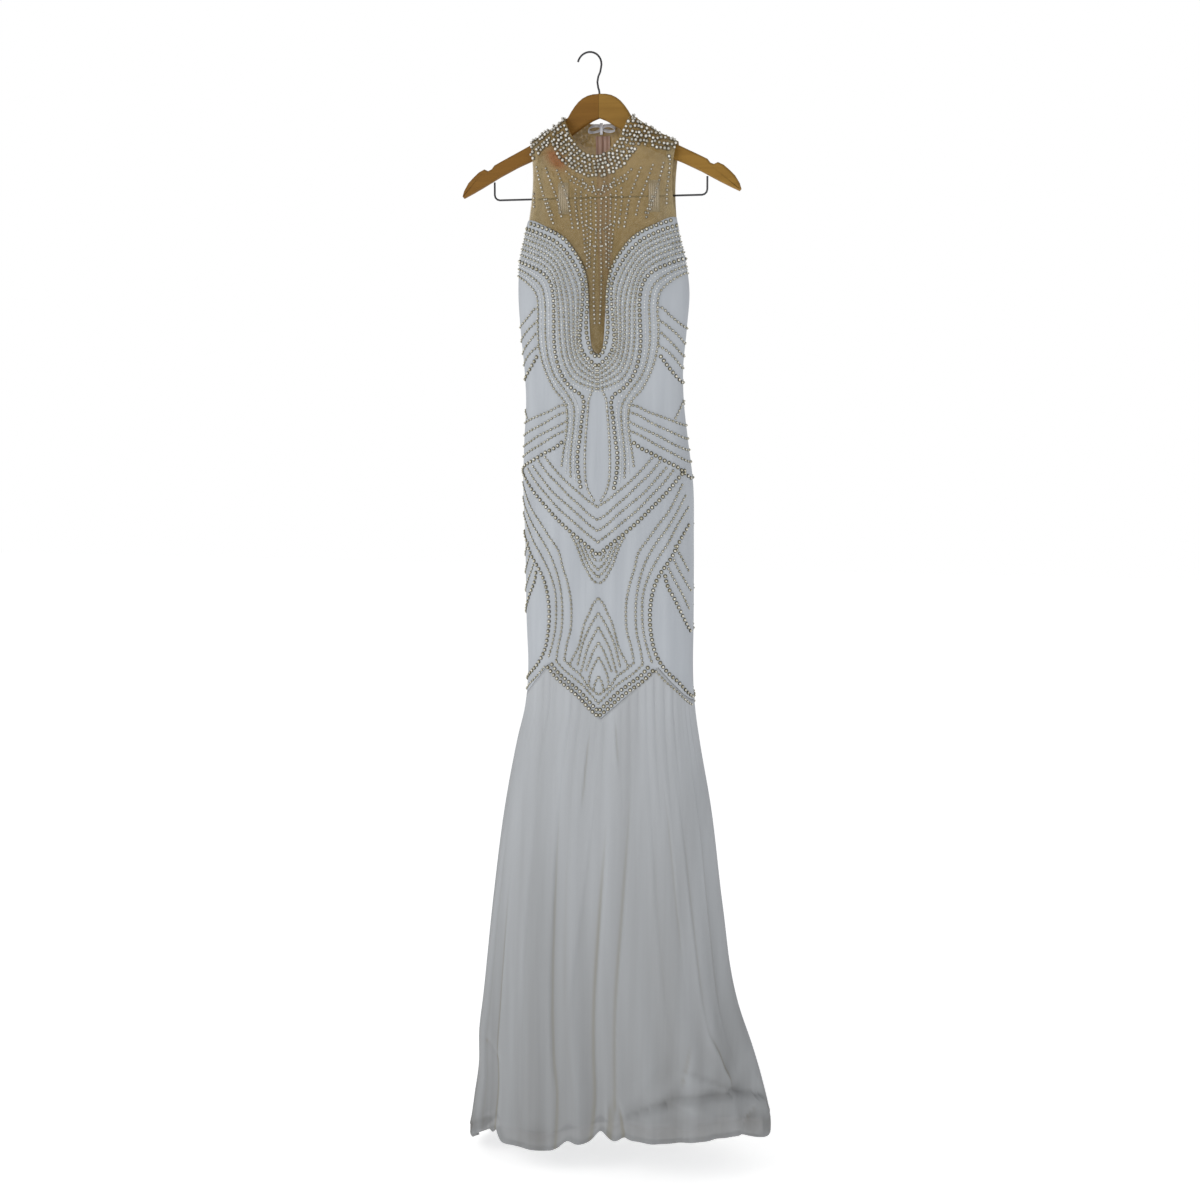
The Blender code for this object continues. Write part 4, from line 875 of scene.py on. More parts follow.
# A skirt half: columns round the ring, rows from the seam to the hem, then the hem turns under
def skirtGrid(side, middle):
    columns, rowCount = skirtValues["columns"][side], skirtValues["rows"][side]
    angle = np.linspace(-math.pi / 2, math.pi / 2, columns) + middle
    top = seamDrop(angle) + shape["seamGap"]
    small = skirtValues["hemWander"] * np.abs(np.cos(angle)) * wander(angle, 41, -1.0, 1.0, 5)
    bottom = hemDrop(angle) + small - skirtValues["hemRoom"]
    for centre, lift, spread in skirtValues["scallops"]:
        bottom = bottom - lift * np.exp(-0.5 * ((np.degrees(angle) - centre) / spread) ** 2)
    v = np.linspace(0.0, 1.0, rowCount)[:, None]
    drop = top + (bottom - top) * v
    angles = angle + 0 * drop
    ends = np.clip((math.pi / 2 - np.abs(angles - middle)) / 0.10, 0.0, 1.0)
    fold, crumple, sharp = [height(angles, drop) for height in (foldHeight, crumpleHeight, creaseHeight)]
    fine = gatherHeight(angles, drop) + rippleHeight(angles, drop) + sharp
    height = fold + (fine + crumple) * ends
    relief = standOut(0.5 * fold + fine, columns // 28, 1)
    relief = relief + 0.32 * standOut(crumple + sharp, rowCount // 24, 0)
    up = bottom - drop
    at, spread = skirtValues["hemShadeBlots"]
    shadeBlots = np.clip(wander(angles, 27, -1.0, 1.0, 61), 0, 1) * np.exp(-0.5 * ((up - at) / spread) ** 2)
    fall = np.clip((drop - skirtValues["fallFrom"]) / skirtValues["fallOver"], 0, 1)
    reach, wave, blend = skirtValues["sheerHem"]
    sheer = np.clip((reach + wave * wander(angles, 33, -1.0, 1.0, 62) - up) / blend, 0, 1)
    # Painted light and shade: ridges lighter, valleys darker, darker lower down, and darker in blots and in
    # the sheer band near the hem
    tone = (skirtValues["level"] - skirtValues["fallShadePaint"] * fall + skirtValues["reliefLightAndShadePaint"] * relief
            - skirtValues["hemShadePaint"] * (shadeBlots + 0.35 * sheer))
    # Narrow painted shadows along the low sides of the sharp creases
    cut = -standOut(sharp, columns // 66, 1) * skirtValues["creaseShadowStrength"] - skirtValues["creaseShadowStart"]
    creaseShadowPaint = np.clip(cut, 0, skirtValues["creaseShadowMost"])
    normal = plainNormal(angles, drop)
    grid = plainPoint(angles, drop) + normal * height[..., None]
    level, up = unit(normal[-1] * np.array([1.0, 1.0, 0.0])), np.array([0.0, 0.0, 1.0])
    inwards, low = skirtValues["hemRadii"]
    rows = [grid]
    for turn in np.radians(skirtValues["hemTurns"]):
        rows.append((grid[-1] + level * inwards * (np.cos(turn) - 1) - up * low * math.sin(turn))[None])
    back, rise = skirtValues["hemReturn"]
    rows.append((rows[-1][0] - level * back + up * rise)[None])
    marks = {"paintedShadeTone": tone, "creaseShadowPaint": creaseShadowPaint, "sheer": sheer}
    for key, mark in marks.items():
        marks[key] = np.concatenate([mark, np.repeat(mark[-1:], len(rows) - 1, axis=0)])
    return meetSides(np.concatenate(rows), middle), marks


# The two halves meet at the sides, half the seam's gap from the middle
def meetSides(grid, middle):
    grid[:, 0, 1] = grid[:, -1, 1] = shape["seamGap"] / 2 * (-1 if middle == 0.0 else 1)
    return grid


# Lining half: inside the skirt's folds, and shorter
def liningGrid(middle):
    angle = np.linspace(-math.pi / 2, math.pi / 2, skirtValues["liningColumns"]) + middle
    top = seamDrop(angle) + skirtValues["liningTop"]
    wave = skirtValues["liningWave"] * wander(angle, 19, 0.0, 1.0, 9)
    bottom = hemDrop(angle) - skirtValues["liningRise"] - wave
    v = np.linspace(0.0, 1.0, skirtValues["liningRows"])[:, None]
    drop = top + (bottom - top) * v
    angles = angle + 0 * drop
    ripple = skirtValues["liningRipple"] * rippleHeight(angles, drop)
    height = foldHeight(angles, drop) - skirtValues["liningGap"] + ripple
    return meetSides(plainPoint(angles, drop) + plainNormal(angles, drop) * height[..., None], middle)


skirts, liningPieces = {}, {}
for side, middle in (("front", 0.0), ("back", math.pi)):
    grid, marks = skirtGrid(side, middle)
    skirts[side] = addSheet(f"skirt.{side}", grid, chiffon, skirtValues["thickness"], marks,
                            replaces=(f"skirt_{side}",), slot="white_chiffon")
    liningPieces[side] = addSheet(f"lining.{side}", liningGrid(middle), lining, skirtValues["thickness"],
                                  replaces=(f"underskirt_{side}",), slot="white_lining")

print("scene: beads")


# Unit ball: rings of points between two poles
def ball(segments, levels):
    lat = np.linspace(0, math.pi, levels + 1)[1:-1, None]
    lon = np.arange(segments) * 2 * math.pi / segments
    body = np.stack([np.sin(lat) * np.cos(lon), np.sin(lat) * np.sin(lon), np.cos(lat) + 0 * lon], -1)
    points = np.concatenate([[[0, 0, 1]], body.reshape(-1, 3), [[0, 0, -1]]])
    quads = gridQuads(levels - 1, segments, wrap=True) + 1
    here = np.arange(segments)
    after, last = (here + 1) % segments, len(points) - 1
    first = last - segments
    top = np.stack([0 * here, 1 + here, 1 + after], -1)
    bottom = np.stack([0 * here + last, first + after, first + here], -1)
    return points, quads, np.concatenate([top, bottom])


# Unit ring: a round tube carried round a circle in the plane of u and v
def hoop(segments, sides, tube):
    lon = np.arange(segments)[:, None] * 2 * math.pi / segments
    lat = np.arange(sides) * 2 * math.pi / sides
    reach = 1 + tube * np.cos(lat)
    points = np.stack([reach * np.cos(lon), reach * np.sin(lon), tube * np.sin(lat) + 0 * lon], -1)
    return points.reshape(-1, 3), gridQuads(segments, sides, wrap=True, close=True), np.zeros((0, 3), int)


# The same places, lifted off the cloth
def raised(places, lift):
    return places[0] + places[2] * lift, places[1], places[2]


# Copies of one unit form: each sits at its place, turned to the cloth and scaled
def scatter(name, form, places, sizes, material, seed, **options):
    points, quads, triangles = form
    at, along, normal = places
    side = unit(np.cross(normal, along))
    along = np.cross(side, normal)
    scaled = points[None] * sizes[:, None, :]
    moved = (at[:, None] + scaled[..., :1] * along[:, None] + scaled[..., 1:2] * side[:, None]
             + scaled[..., 2:] * normal[:, None])
    offset = (np.arange(len(at)) * len(points))[:, None, None]
    mesh = fillMesh(name, moved.reshape(-1, 3), (quads[None] + offset).reshape(-1, 4),
                    (triangles[None] + offset).reshape(-1, 3))
    tone = np.random.default_rng(seed).uniform(0.0, 1.0, len(at)).astype(np.float32)
    mark = mesh.attributes.new("tone", "FLOAT", "POINT")
    mark.data.foreach_set("value", np.repeat(tone, len(points)))
    return addPiece(name, mesh, material, **options)


# Surface point and normal under a bead: cloth says which panel carries it
def onCloth(across, drop, cloth):
    def surface(x, fall):
        if cloth in ("front", "back"):
            centre, half = ringAt(fall)[:2]
            angle = np.arcsin(np.clip((x - centre) / half, -0.9995, 0.9995))
            return bodicePoint(angle if cloth == "front" else math.pi - angle, fall)
        return yokePoint(x, fall, np.full_like(x, -1.0 if cloth == "yokeFront" else 1.0))

    x = across + np.interp(drop, centreLine[:, 0], centreLine[:, 1])
    point = surface(x, drop)
    step = 4e-4
    toRight = surface(x + step, drop) - surface(x - step, drop)
    toLow = surface(x, drop + step) - surface(x, drop - step)
    normal = unit(np.cross(toLow, toRight))
    outwards = -1.0 if cloth in ("front", "yokeFront") else 1.0
    facing = normal[..., 1] * outwards
    if cloth in ("front", "back"):
        facing = normal[..., 0] * (point[..., 0] - ringAt(drop)[0]) + normal[..., 1] * point[..., 1]
    return point, normal * np.where(facing < 0, -1.0, 1.0)[..., None]


# A row of places at an even pitch along a route given as distance from the centre line and drop, in mm;
# it holds points, directions, normals and drops. A row that reaches the side runs on past it.
def rowPlaces(route, side, pitch, cloth):
    route = np.array(route, float)
    for end, beside in ((0, 1), (-1, -2)):
        if route[end, 0] > beadValues["sideReach"] and cloth in ("front", "back"):
            ahead = unit(route[end] - route[beside])
            extra = route[end] + ahead * beadValues["overrun"]
            route = np.insert(route, 0, extra, axis=0) if end == 0 else np.append(route, [extra], axis=0)
    route = route / 1000
    length = runLength(route)
    fine = np.linspace(0.0, length[-1], max(int(length[-1] / beadValues["readStep"]), 8))
    across, drop = smoothRead(fine, length, route[:, 0]) * side, smoothRead(fine, length, route[:, 1])
    point, normal = onCloth(across, drop, cloth)
    run = runLength(point)
    at = np.arange(0.5 * pitch, run[-1], pitch)
    ahead = np.gradient(point, axis=0)
    point, ahead, normal = [readAlong(at, run, values) for values in (point, ahead, normal)]
    return point, unit(ahead), unit(normal), np.interp(at, run, drop)


# The places that lie on the front or back: not past the sides, and on the back not on the mesh
def insideRing(places, cloth):
    point, drop = places[0], places[3]
    centre, half = ringAt(drop)[:2]
    share = np.abs(point[:, 0] - centre) / half
    keep = share < beadValues["insideShare"]
    if cloth == "back":
        keep &= drop > backEdgeDrop(share) + beadValues["offMesh"]
    return [values[keep] for values in places]


def joinPlaces(parts):
    return [np.concatenate([part[k] for part in parts]) for k in range(4)]


# Rows of large cased pearls on the right half: distance from the centre line and drop, in mm
casedRows = {
    "plungeEdge": ((0, 456), (7, 451), (12.5, 438), (15.5, 425), (15.5, 360), (17.5, 340), (23, 320),
                   (36, 298), (50, 281), (66, 269), (88, 259.5), (112, 251)),
    "plungeOuter": ((0, 470.5), (10, 461.5), (20, 451.5), (25, 440), (25, 400), (22.5, 370), (23, 345),
                    (30, 327), (41, 308), (55, 291), (66, 281.5), (84, 272), (98, 266), (117, 259)),
    "bust": ((129, 308), (108, 317), (90, 325.5), (78, 335), (70, 349), (66.5, 367), (66.5, 400),
             (67.5, 430), (65, 455), (60, 474), (51, 491), (37, 505.5), (24, 515), (21.5, 524), (24, 545),
             (28, 580), (31.3, 605), (30.5, 628), (25.5, 657)),
    "sideSlant": ((95, 452), (107, 469.5), (117, 483), (130, 500)),
    "waistEdge": ((54, 583), (66, 592.5), (84.5, 601.5), (104.5, 613), (122.5, 623), (133, 634)),
    "waistV": ((0, 757), (20, 740), (44.5, 720.5), (65, 702.5), (84, 683), (107, 659), (126, 634)),
    "hip": ((133, 716), (122, 738), (111, 761), (96, 783), (88, 799), (83.5, 815), (80.5, 835), (80, 860),
            (82.5, 883), (88, 907), (104, 934.5), (122, 954), (135, 974)),
    "hipBranch": ((102, 784), (105, 800), (116, 824), (125.5, 847), (134, 870)),
    "seamUpper": ((0, 999), (13, 986.5), (28, 971), (47, 956), (67, 940.5), (79, 926)),
    "seamLower": ((0, 1007), (14, 996), (30, 980), (49, 965), (69, 950), (84, 934)),
}
# Rows of small beads on the right half, in the same way
fineRows = {
    "oval": ((7, 505), (13, 518), (15.5, 540), (18, 570), (19.5, 600), (19.5, 625), (18, 645), (13, 661),
             (5, 674)),
    "fanA": ((91, 382), (98, 382.5), (107, 391), (122, 404), (132, 412)),
    "fanB": ((93, 400), (103, 407), (116, 418), (125, 427.5), (130, 436)),
    "fanC": ((97, 419), (109, 431), (120, 443), (127, 453)),
    "fanD": ((93, 438), (105, 446), (117, 458), (127, 474)),
    "sideEdgeA": ((127, 503), (127, 520), (123, 535), (117, 549)),
    "lowFanA": ((47, 528), (58, 529), (77, 538), (101, 547), (127, 558)),
    "lowFanB": ((47, 538), (62, 543), (84, 555.5), (106, 566), (131, 579)),
    "lowFanC": ((49, 553), (67, 562.5), (95, 575.5), (118, 589), (130, 595)),
    "lowFanD": ((48, 566), (66, 574), (89, 587.5), (112, 600), (133, 613)),
    "slantA": ((85, 607), (73, 621), (61, 634), (45, 649), (30, 661), (17, 672), (0, 683)),
    "slantB": ((96, 613), (81, 632), (63, 649), (46, 666), (26, 683), (13, 695), (0, 703)),
    "slantC": ((106, 622), (88, 643), (72, 661), (49, 680), (30, 696), (13, 711), (0, 720)),
    "slantD": ((116, 626), (101, 646), (84, 664), (62, 687), (39, 706), (15, 726), (0, 737)),
    "innerVA": ((42, 728), (36, 738), (29, 755), (24, 769), (16, 784), (8, 796), (0, 801)),
    "innerVB": ((31, 737), (25, 750), (20, 763), (13, 777), (0, 791)),
    "innerVC": ((22, 744), (16, 758), (10, 769), (0, 779)),
    "innerVD": ((12, 751), (8, 760), (0, 768)),
    "hipA": ((125, 655), (117, 673), (108, 690), (95, 707), (78, 731), (63, 752), (57, 775), (49, 801),
             (44, 826), (43, 850), (45, 876), (50, 893), (55, 919)),
    "hipB": ((129, 672), (119, 693), (106, 715), (90, 737), (76, 761), (66, 787), (60, 815), (58, 845),
             (60, 878), (65, 900), (69, 924)),
    "hipC": ((132, 690), (119, 714), (107, 738), (92, 761), (78, 788), (70, 813), (68, 845), (70, 874),
             (77, 904), (83, 922)),
    "branchA": ((107, 775), (112, 786), (120, 803), (127, 818), (133, 835)),
    "branchB": ((115, 762), (121, 777), (128, 792), (134, 806)),
    "branchC": ((120, 748), (127, 762), (132, 775)),
    "peakA": ((0, 823), (8, 832), (14, 846), (21, 860), (26, 877), (33, 902), (41, 917), (46, 927)),
    "peakB": ((0, 846), (8, 858), (17, 875), (25, 894), (30, 913), (34, 930)),
    "peakC": ((0, 868), (9, 884), (17, 900), (23, 920), (29, 941)),
    "peakD": ((0, 892), (8, 905), (14, 920), (21, 938)),
    "peakE": ((0, 915), (8, 929), (14, 944), (16, 960)),
    "peakF": ((0, 945), (5, 954), (8, 965)),
    "footA": ((56, 921), (43, 933), (28, 945), (18, 960), (8, 968), (0, 974)),
    "footB": ((69, 924), (55, 938), (40, 949), (28, 958), (15, 971), (0, 987)),
    "hemSide": ((88, 934), (103, 951), (120, 968), (134, 986)),
}
# Edges of the two nests of curved rows: the space between them is shared out evenly
nestInner = casedRows["plungeOuter"]
nestBust = ((0, 512), (24, 508), (37, 504), (51, 491), (60, 474), (65, 455), (67.5, 430), (66.5, 400),
            (66.5, 367), (70, 349), (78, 335), (90, 325.5), (108, 317), (129, 308))
nestOuter = ((133, 329), (112, 342), (97, 356), (92, 375), (93, 400), (93.5, 420), (91.5, 446), (80, 483),
             (66, 508), (50, 528), (47.5, 548), (48.5, 565), (53, 594), (57, 623))
# Bead forms, finer in front: segments and levels for balls, segments and sides for rings
forms = {
    "front": {"cased": (8, 6), "casedRing": (10, 4), "fine": (6, 4), "fineRing": (7, 3), "silver": (8, 6),
              "silverRing": (7, 3)},
    "back": {"cased": (7, 5), "casedRing": (8, 3), "fine": (5, 4), "fineRing": (5, 3), "silver": (6, 5),
             "silverRing": (6, 3)},
}
# A lift is the height of a bead's middle over the cloth, as a share of its own half height
beadValues = {
    "casedPitch": 0.0077,
    "pearlRadius": 0.00190,
    "casingRadius": 0.00232,
    "casingTube": 0.34,
    "finePitch": 0.0033,
    "finePearl": 0.00140,
    "fineCasing": (0.00158, 0.34),
    "fineSeed": (0.00140, 0.00085, 0.00085),
    "dashPitch": 0.0046,
    "dashBead": (0.00180, 0.00115, 0.00105),
    "bustShares": (0.155, 0.31, 0.47, 0.63, 0.80),
    "bustDashes": (0.075, 0.232, 0.39, 0.55, 0.715, 0.90),
    "outerShares": (0.53, 1.0),
    "outerDashes": (0.28, 0.76),
    "sideReach": 118.0,
    "overrun": 8.0,
    "readStep": 0.001,
    "insideShare": 0.9992,
    "offMesh": 0.006,
    "lift": {"cased": 0.75, "fine": 0.9, "seed": 0.8, "casing": 0.9},
    "mixedPoints": 14,
}


# A route between two others: both are read by their share of length and mixed
def between(first, second, share):
    def read(route, at):
        route = np.array(route, float)
        length = runLength(route)
        return np.stack([smoothRead(at * length[-1], length, route[:, k]) for k in range(2)], -1)

    at = np.linspace(0.0, 1.0, beadValues["mixedPoints"])
    return read(first, at) * (1 - share) + read(second, at) * share


fineRoutes = list(fineRows.values())
fineRoutes += [between(nestInner, nestBust, share) for share in beadValues["bustShares"]]
fineRoutes += [between(casedRows["bust"], nestOuter, share) for share in beadValues["outerShares"]]
dashRoutes = [fineRows["oval"]]
dashRoutes += [between(nestInner, nestBust, share) for share in beadValues["bustDashes"]]
dashRoutes += [between(casedRows["bust"], nestOuter, share) for share in beadValues["outerDashes"]]


# Places along all the routes on both sides, and each one's number in its row
def allPlaces(cloth, routes, pitch):
    parts = [rowPlaces(route, side, pitch, cloth) for route in routes for side in (-1, 1)]
    number = np.concatenate([np.arange(len(part[0])) for part in parts])
    at, along, normal, _, number = insideRing(joinPlaces(parts) + [number], cloth)
    return (at, along, normal), number


# Beads, threads or teeth of one size, lifted off the cloth by one height
def addBeads(name, form, places, size, lift, material, seed, replaces=(), slot="pearls"):
    sizes = np.tile(np.array(size, float), (len(places[0]), 1))
    scatter(name, form, raised(places, lift), sizes, material, seed, replaces=replaces, slot=slot)


def addCasedPearls(cloth, replaces):
    places = allPlaces(cloth, casedRows.values(), beadValues["casedPitch"])[0]
    radius, ring, tube, lift = [
        beadValues[key] for key in ("pearlRadius", "casingRadius", "casingTube", "lift")
    ]
    addBeads(f"casedPearls.{cloth}", ball(*forms[cloth]["cased"]), places, (radius,) * 3,
             radius * lift["cased"], pearlCream, 31, replaces)
    addBeads(f"pearlCasings.{cloth}", hoop(*forms[cloth]["casedRing"], tube), places, (ring,) * 3,
             ring * tube * lift["casing"], beadCasing, 32)


# Fine rows: a pearl in a casing and a seed bead in turn, and rows of clear beads between them; each casing's
# dark ring is partly the real casing and partly painted shade round the pearl
def addFineBeads(cloth):
    places, number = allPlaces(cloth, fineRoutes, beadValues["finePitch"])
    pearls, seeds = [[values[number % 2 == rest] for values in places] for rest in (0, 1)]
    pearl, (ring, tube), lift = [beadValues[key] for key in ("finePearl", "fineCasing", "lift")]
    addBeads(f"finePearls.{cloth}", ball(*forms[cloth]["fine"]), pearls, (pearl,) * 3,
             pearl * lift["fine"], pearlCream, 33)
    addBeads(f"fineCasingsAndShade.{cloth}", hoop(*forms[cloth]["fineRing"], tube), pearls, (ring,) * 3,
             ring * tube * lift["casing"], fineCasing, 35)
    seed, dash = beadValues["fineSeed"], beadValues["dashBead"]
    addBeads(f"fineSeeds.{cloth}", ball(4, 3), seeds, seed, seed[2] * lift["seed"], seedBead, 34)
    places = allPlaces(cloth, dashRoutes, beadValues["dashPitch"])[0]
    addBeads(f"bugleBeads.{cloth}", ball(4, 3), places, dash, dash[2] * lift["seed"], clearBead, 36)


rowNodes = ["neck_row", "waist_row", "seam_row"]
rowNodes += [f"{place}_row_{side}" for place in ("bust", "hip") for side in ("left", "right")]
addCasedPearls("front", rowNodes)
addFineBeads("front")
addCasedPearls("back", ())
addFineBeads("back")

# Strings of silver pearls on the mesh, right half: distance from the centre line and drop, in mm
meshStrings = {
    "armhole": ((99, 165), (95, 183), (88, 208), (79, 235), (71, 253)),
    "armholeEdge": ((108, 160), (107, 180), (104, 205), (103, 228)),
    "second": ((84, 168), (78, 184), (71, 202), (63, 222), (57, 247)),
    "third": ((66, 172), (60, 187), (53, 204), (47, 222), (43, 243), (40, 262)),
    "sunA": ((53, 175), (42, 184), (28, 193), (14, 200), (0, 206)),
    "sunB": ((46, 189), (34, 196), (22, 202), (11, 208), (0, 214)),
    "sunC": ((10, 191), (8, 199), (6, 207)),
    "sunD": ((26, 187), (22, 195), (18, 203)),
    "fallA": ((5, 216), (4, 235), (3.5, 258), (4, 285), (5.5, 320), (6, 350), (5, 384), (3.5, 410)),
    "fallB": ((12, 214), (12, 232), (11.5, 255), (12, 280), (13, 300), (13, 320)),
    "fallC": ((19, 210), (19, 230), (18, 255), (16.5, 280), (17, 305), (17, 322)),
    "fallD": ((27, 205), (27, 225), (25.5, 247), (23, 266), (21, 287), (20, 302)),
    "fallE": ((35, 201), (36, 220), (34, 240), (31, 262)),
    "garland": ((0, 268), (6, 265), (12, 262), (20, 257), (28, 253), (36, 254)),
    "link": ((4, 291), (10, 287), (17, 283)),
    "lowSide": ((83, 214), (77, 231), (71, 244)),
}
collarValues = {
    "rows": tuple(0.0026 + 0.0055 * k for k in range(15)),
    "fullRows": 6,
    "pitch": 0.0067,
    "shoulderDepth": 0.028,
    "jitter": 0.0014,
    "zipClear": 0.0065,
    "pearlRadius": 0.0021,
    "stringPitch": 0.0064,
    "stringRadius": 0.00140,
    "casing": (1.06, 0.38),
    "lift": 0.85,
    "sizes": (0.85, 1.12),
    "edgeRoom": 0.0008,
    "armholeShare": 0.985,
    "ragged": 0.007,
    "runOn": 0.030,
    "runOnPoints": 60,
    "neckPoints": 400,
    "smoothing": 61,
    "stringRoom": 0.003,
    "stringZipClear": 0.006,
    "stringEdgeRoom": 0.004,
}


# The neck edge's drop at x, in front or behind
def neckDrop(x, cloth):
    return neckFrontDrop(x) if cloth == "yokeFront" else neckBackDrop(x)


# Collar: rows at even steps out from the neck edge, whose curve runs on up past the shoulders; the
# outer rows keep to the shoulders, and the back's keep off the zip
def collarPlaces(cloth):
    half, hangerX = shape["neckHalf"], shape["hangerX"]
    x = hangerX + half * np.sin(np.linspace(-math.pi / 2, math.pi / 2, collarValues["neckPoints"]))
    edge = neckDrop(x, cloth)
    rise = np.linspace(collarValues["runOn"], 0.0, collarValues["runOnPoints"])[:-1]
    x = np.concatenate([0 * rise + x[0], x, 0 * rise + x[-1]])
    edge = np.concatenate([edge[0] - rise, edge, edge[-1] - rise[::-1]])
    ahead = unit(np.stack([np.gradient(x), np.gradient(edge)], -1))
    kernel = np.hanning(collarValues["smoothing"])
    ends = ((collarValues["smoothing"] // 2,) * 2, (0, 0))
    padded = np.pad(ahead, ends, mode="edge")
    ahead = unit(np.stack([np.convolve(padded[:, k], kernel / kernel.sum(), "valid") for k in range(2)], -1))
    places, wide = [], []
    for number, reach in enumerate(collarValues["rows"]):
        line = np.stack([x - ahead[:, 1] * reach, edge + ahead[:, 0] * reach], -1)
        run = runLength(line)
        at = np.arange((number % 2) * 0.5 * collarValues["pitch"], run[-1], collarValues["pitch"])
        places.append(readAlong(at, run, line))
        wide.append(np.full(len(at), number >= collarValues["fullRows"]))
    (x, drop), wide = np.concatenate(places).T, np.concatenate(wide)
    shift = np.random.default_rng(48).uniform(-1.0, 1.0, (3, len(x)))
    x, drop = x + shift[0] * collarValues["jitter"], drop + shift[1] * collarValues["jitter"]
    top = np.where(np.abs(x - hangerX) < half, neckDrop(x, cloth), shoulderDrop(x))
    share = np.abs(x - hangerX) / np.where(x > hangerX, shape["shoulderRight"], shape["shoulderLeft"])
    limit = collarValues["shoulderDepth"] + collarValues["ragged"] * shift[2]
    centre = np.interp(drop, centreLine[:, 0], centreLine[:, 1])
    keep = (drop > top + collarValues["edgeRoom"]) & (share < collarValues["armholeShare"])
    keep &= ~wide | (drop < top + limit)
    if cloth == "yokeBack":
        keep &= np.abs(x - centre) > collarValues["zipClear"]
    x, drop, centre = x[keep], drop[keep], centre[keep]
    point, normal = onCloth(x - centre, drop, cloth)
    along = unit(np.cross(normal, np.tile([0.0, 0.0, 1.0], (len(x), 1))))
    return point, along, normal


# Silver pearls of slightly different sizes, each with a dark ring round its foot: painted shade for the
# pearl's dark edge
def addSilverPearls(name, places, radius, seed, detail):
    shares = np.random.default_rng(seed).uniform(*collarValues["sizes"], len(places[0]))
    size = radius * shares[:, None] * np.ones(3)
    high = raised(places, size[:, :1] * collarValues["lift"])
    scatter(name, ball(*detail["silver"]), high, size, pearlSilver, seed + 1, slot="pearls")
    reach, tube = collarValues["casing"]
    low = raised(places, size[:, :1] * reach * tube * beadValues["lift"]["casing"])
    scatter(f"{name}Casing", hoop(*detail["silverRing"], tube), low, size * reach, pearlShadeRing, seed + 2,
            slot="pearls")


# The collar, and the strings wherever they lie on the mesh itself
def addMeshPearls(cloth):
    detail = forms["front" if cloth == "yokeFront" else "back"]
    addSilverPearls(f"collarPearls.{cloth}", collarPlaces(cloth), collarValues["pearlRadius"], 41, detail)
    parts = [rowPlaces(route, side, collarValues["stringPitch"], cloth)
             for route in meshStrings.values() for side in (-1, 1)]
    at, along, normal, drop = joinPlaces(parts)
    x, room = at[:, 0], collarValues["stringRoom"]
    edges = [frontGrid[:, 0], frontGrid[:, -1]]
    if cloth == "yokeBack":
        edges = [backGrids["left"][:, -1], backGrids["right"][:, 0]]
    sides = [np.interp(drop, -edge[:, 2], edge[:, 0]) for edge in edges]
    keep = (x > np.minimum(*sides) + room) & (x < np.maximum(*sides) - room)
    if cloth == "yokeBack":
        centre, half = ringAt(drop)[:2]
        low = backEdgeDrop(np.abs(x - centre) / half) - collarValues["stringEdgeRoom"]
        keep &= (drop < low) & (np.abs(x - shape["hangerX"]) > collarValues["stringZipClear"])
    addSilverPearls(f"stringPearls.{cloth}", (at[keep], along[keep], normal[keep]),
                    collarValues["stringRadius"], 44, detail)


addMeshPearls("yokeFront")
addMeshPearls("yokeBack")

print("scene: edges and zip")


# A round tube carried along a path, with a closed end at both ends
def tubeMesh(name, path, radius, sides):
    ahead = unit(np.gradient(path, axis=0))
    lean = np.where(np.abs(ahead[:, 1:2]) > 0.9, [[0.0, 0.0, 1.0]], [[0.0, 1.0, 0.0]])
    first = unit(np.cross(ahead, lean))
    second = np.cross(ahead, first)
    turn = np.arange(sides) * 2 * math.pi / sides
    ring = np.cos(turn)[:, None] * first[:, None] + np.sin(turn)[:, None] * second[:, None]
    points = (path[:, None] + radius * ring).reshape(-1, 3)
    quads = gridQuads(len(path), sides, wrap=True)[:, [0, 3, 2, 1]]
    count, last = len(points), (len(path) - 1) * sides
    points = np.concatenate([points, path[:1], path[-1:]])
    here, after = np.arange(sides), (np.arange(sides) + 1) % sides
    triangles = np.concatenate([
        np.stack([here * 0 + count, after, here], -1),
        np.stack([here * 0 + count + 1, last + here, last + after], -1),
    ])
    return fillMesh(name, points, quads, triangles)


bindingValues = {"radius": 0.0010, "sides": 8}


# The part of a top edge that lies on the neck, without its first point at the zip
def neckPart(edge):
    return edge[np.abs(edge[:, 0] - shape["hangerX"]) <= shape["neckHalf"] + 1e-4][1:]


neckPaths = {
    "front": frontGrid[0, np.flatnonzero(frontOnNeck)],
    "left": neckPart(backGrids["left"][0]),
    "right": neckPart(backGrids["right"][0][::-1]),
}
for side, path in neckPaths.items():
    name = f"neckBinding.{side}"
    tube = tubeMesh(name, path, bindingValues["radius"], bindingValues["sides"])
    addPiece(name, tube, tulle, slot="nude_mesh")

# Label: a narrow ribbon tied in two flat lobes, with a short bar of the same ribbon over its middle
labelValues = {
    "lobe": (0.0102, 0.0044),
    "drop": 0.1085,
    "sag": 0.0026,
    "y": 0.0165,
    "width": 0.0064,
    "tilt": 0.80,
    "apart": 0.0006,
    "curl": 0.0005,
    "thickness": 0.0005,
    "barHalf": 0.0021,
    "barTop": 0.1015,
    "barLength": 0.0175,
    "barY": 0.0130,
    "barBow": (0.0012, 0.0004),
    "barThickness": 0.0006,
}


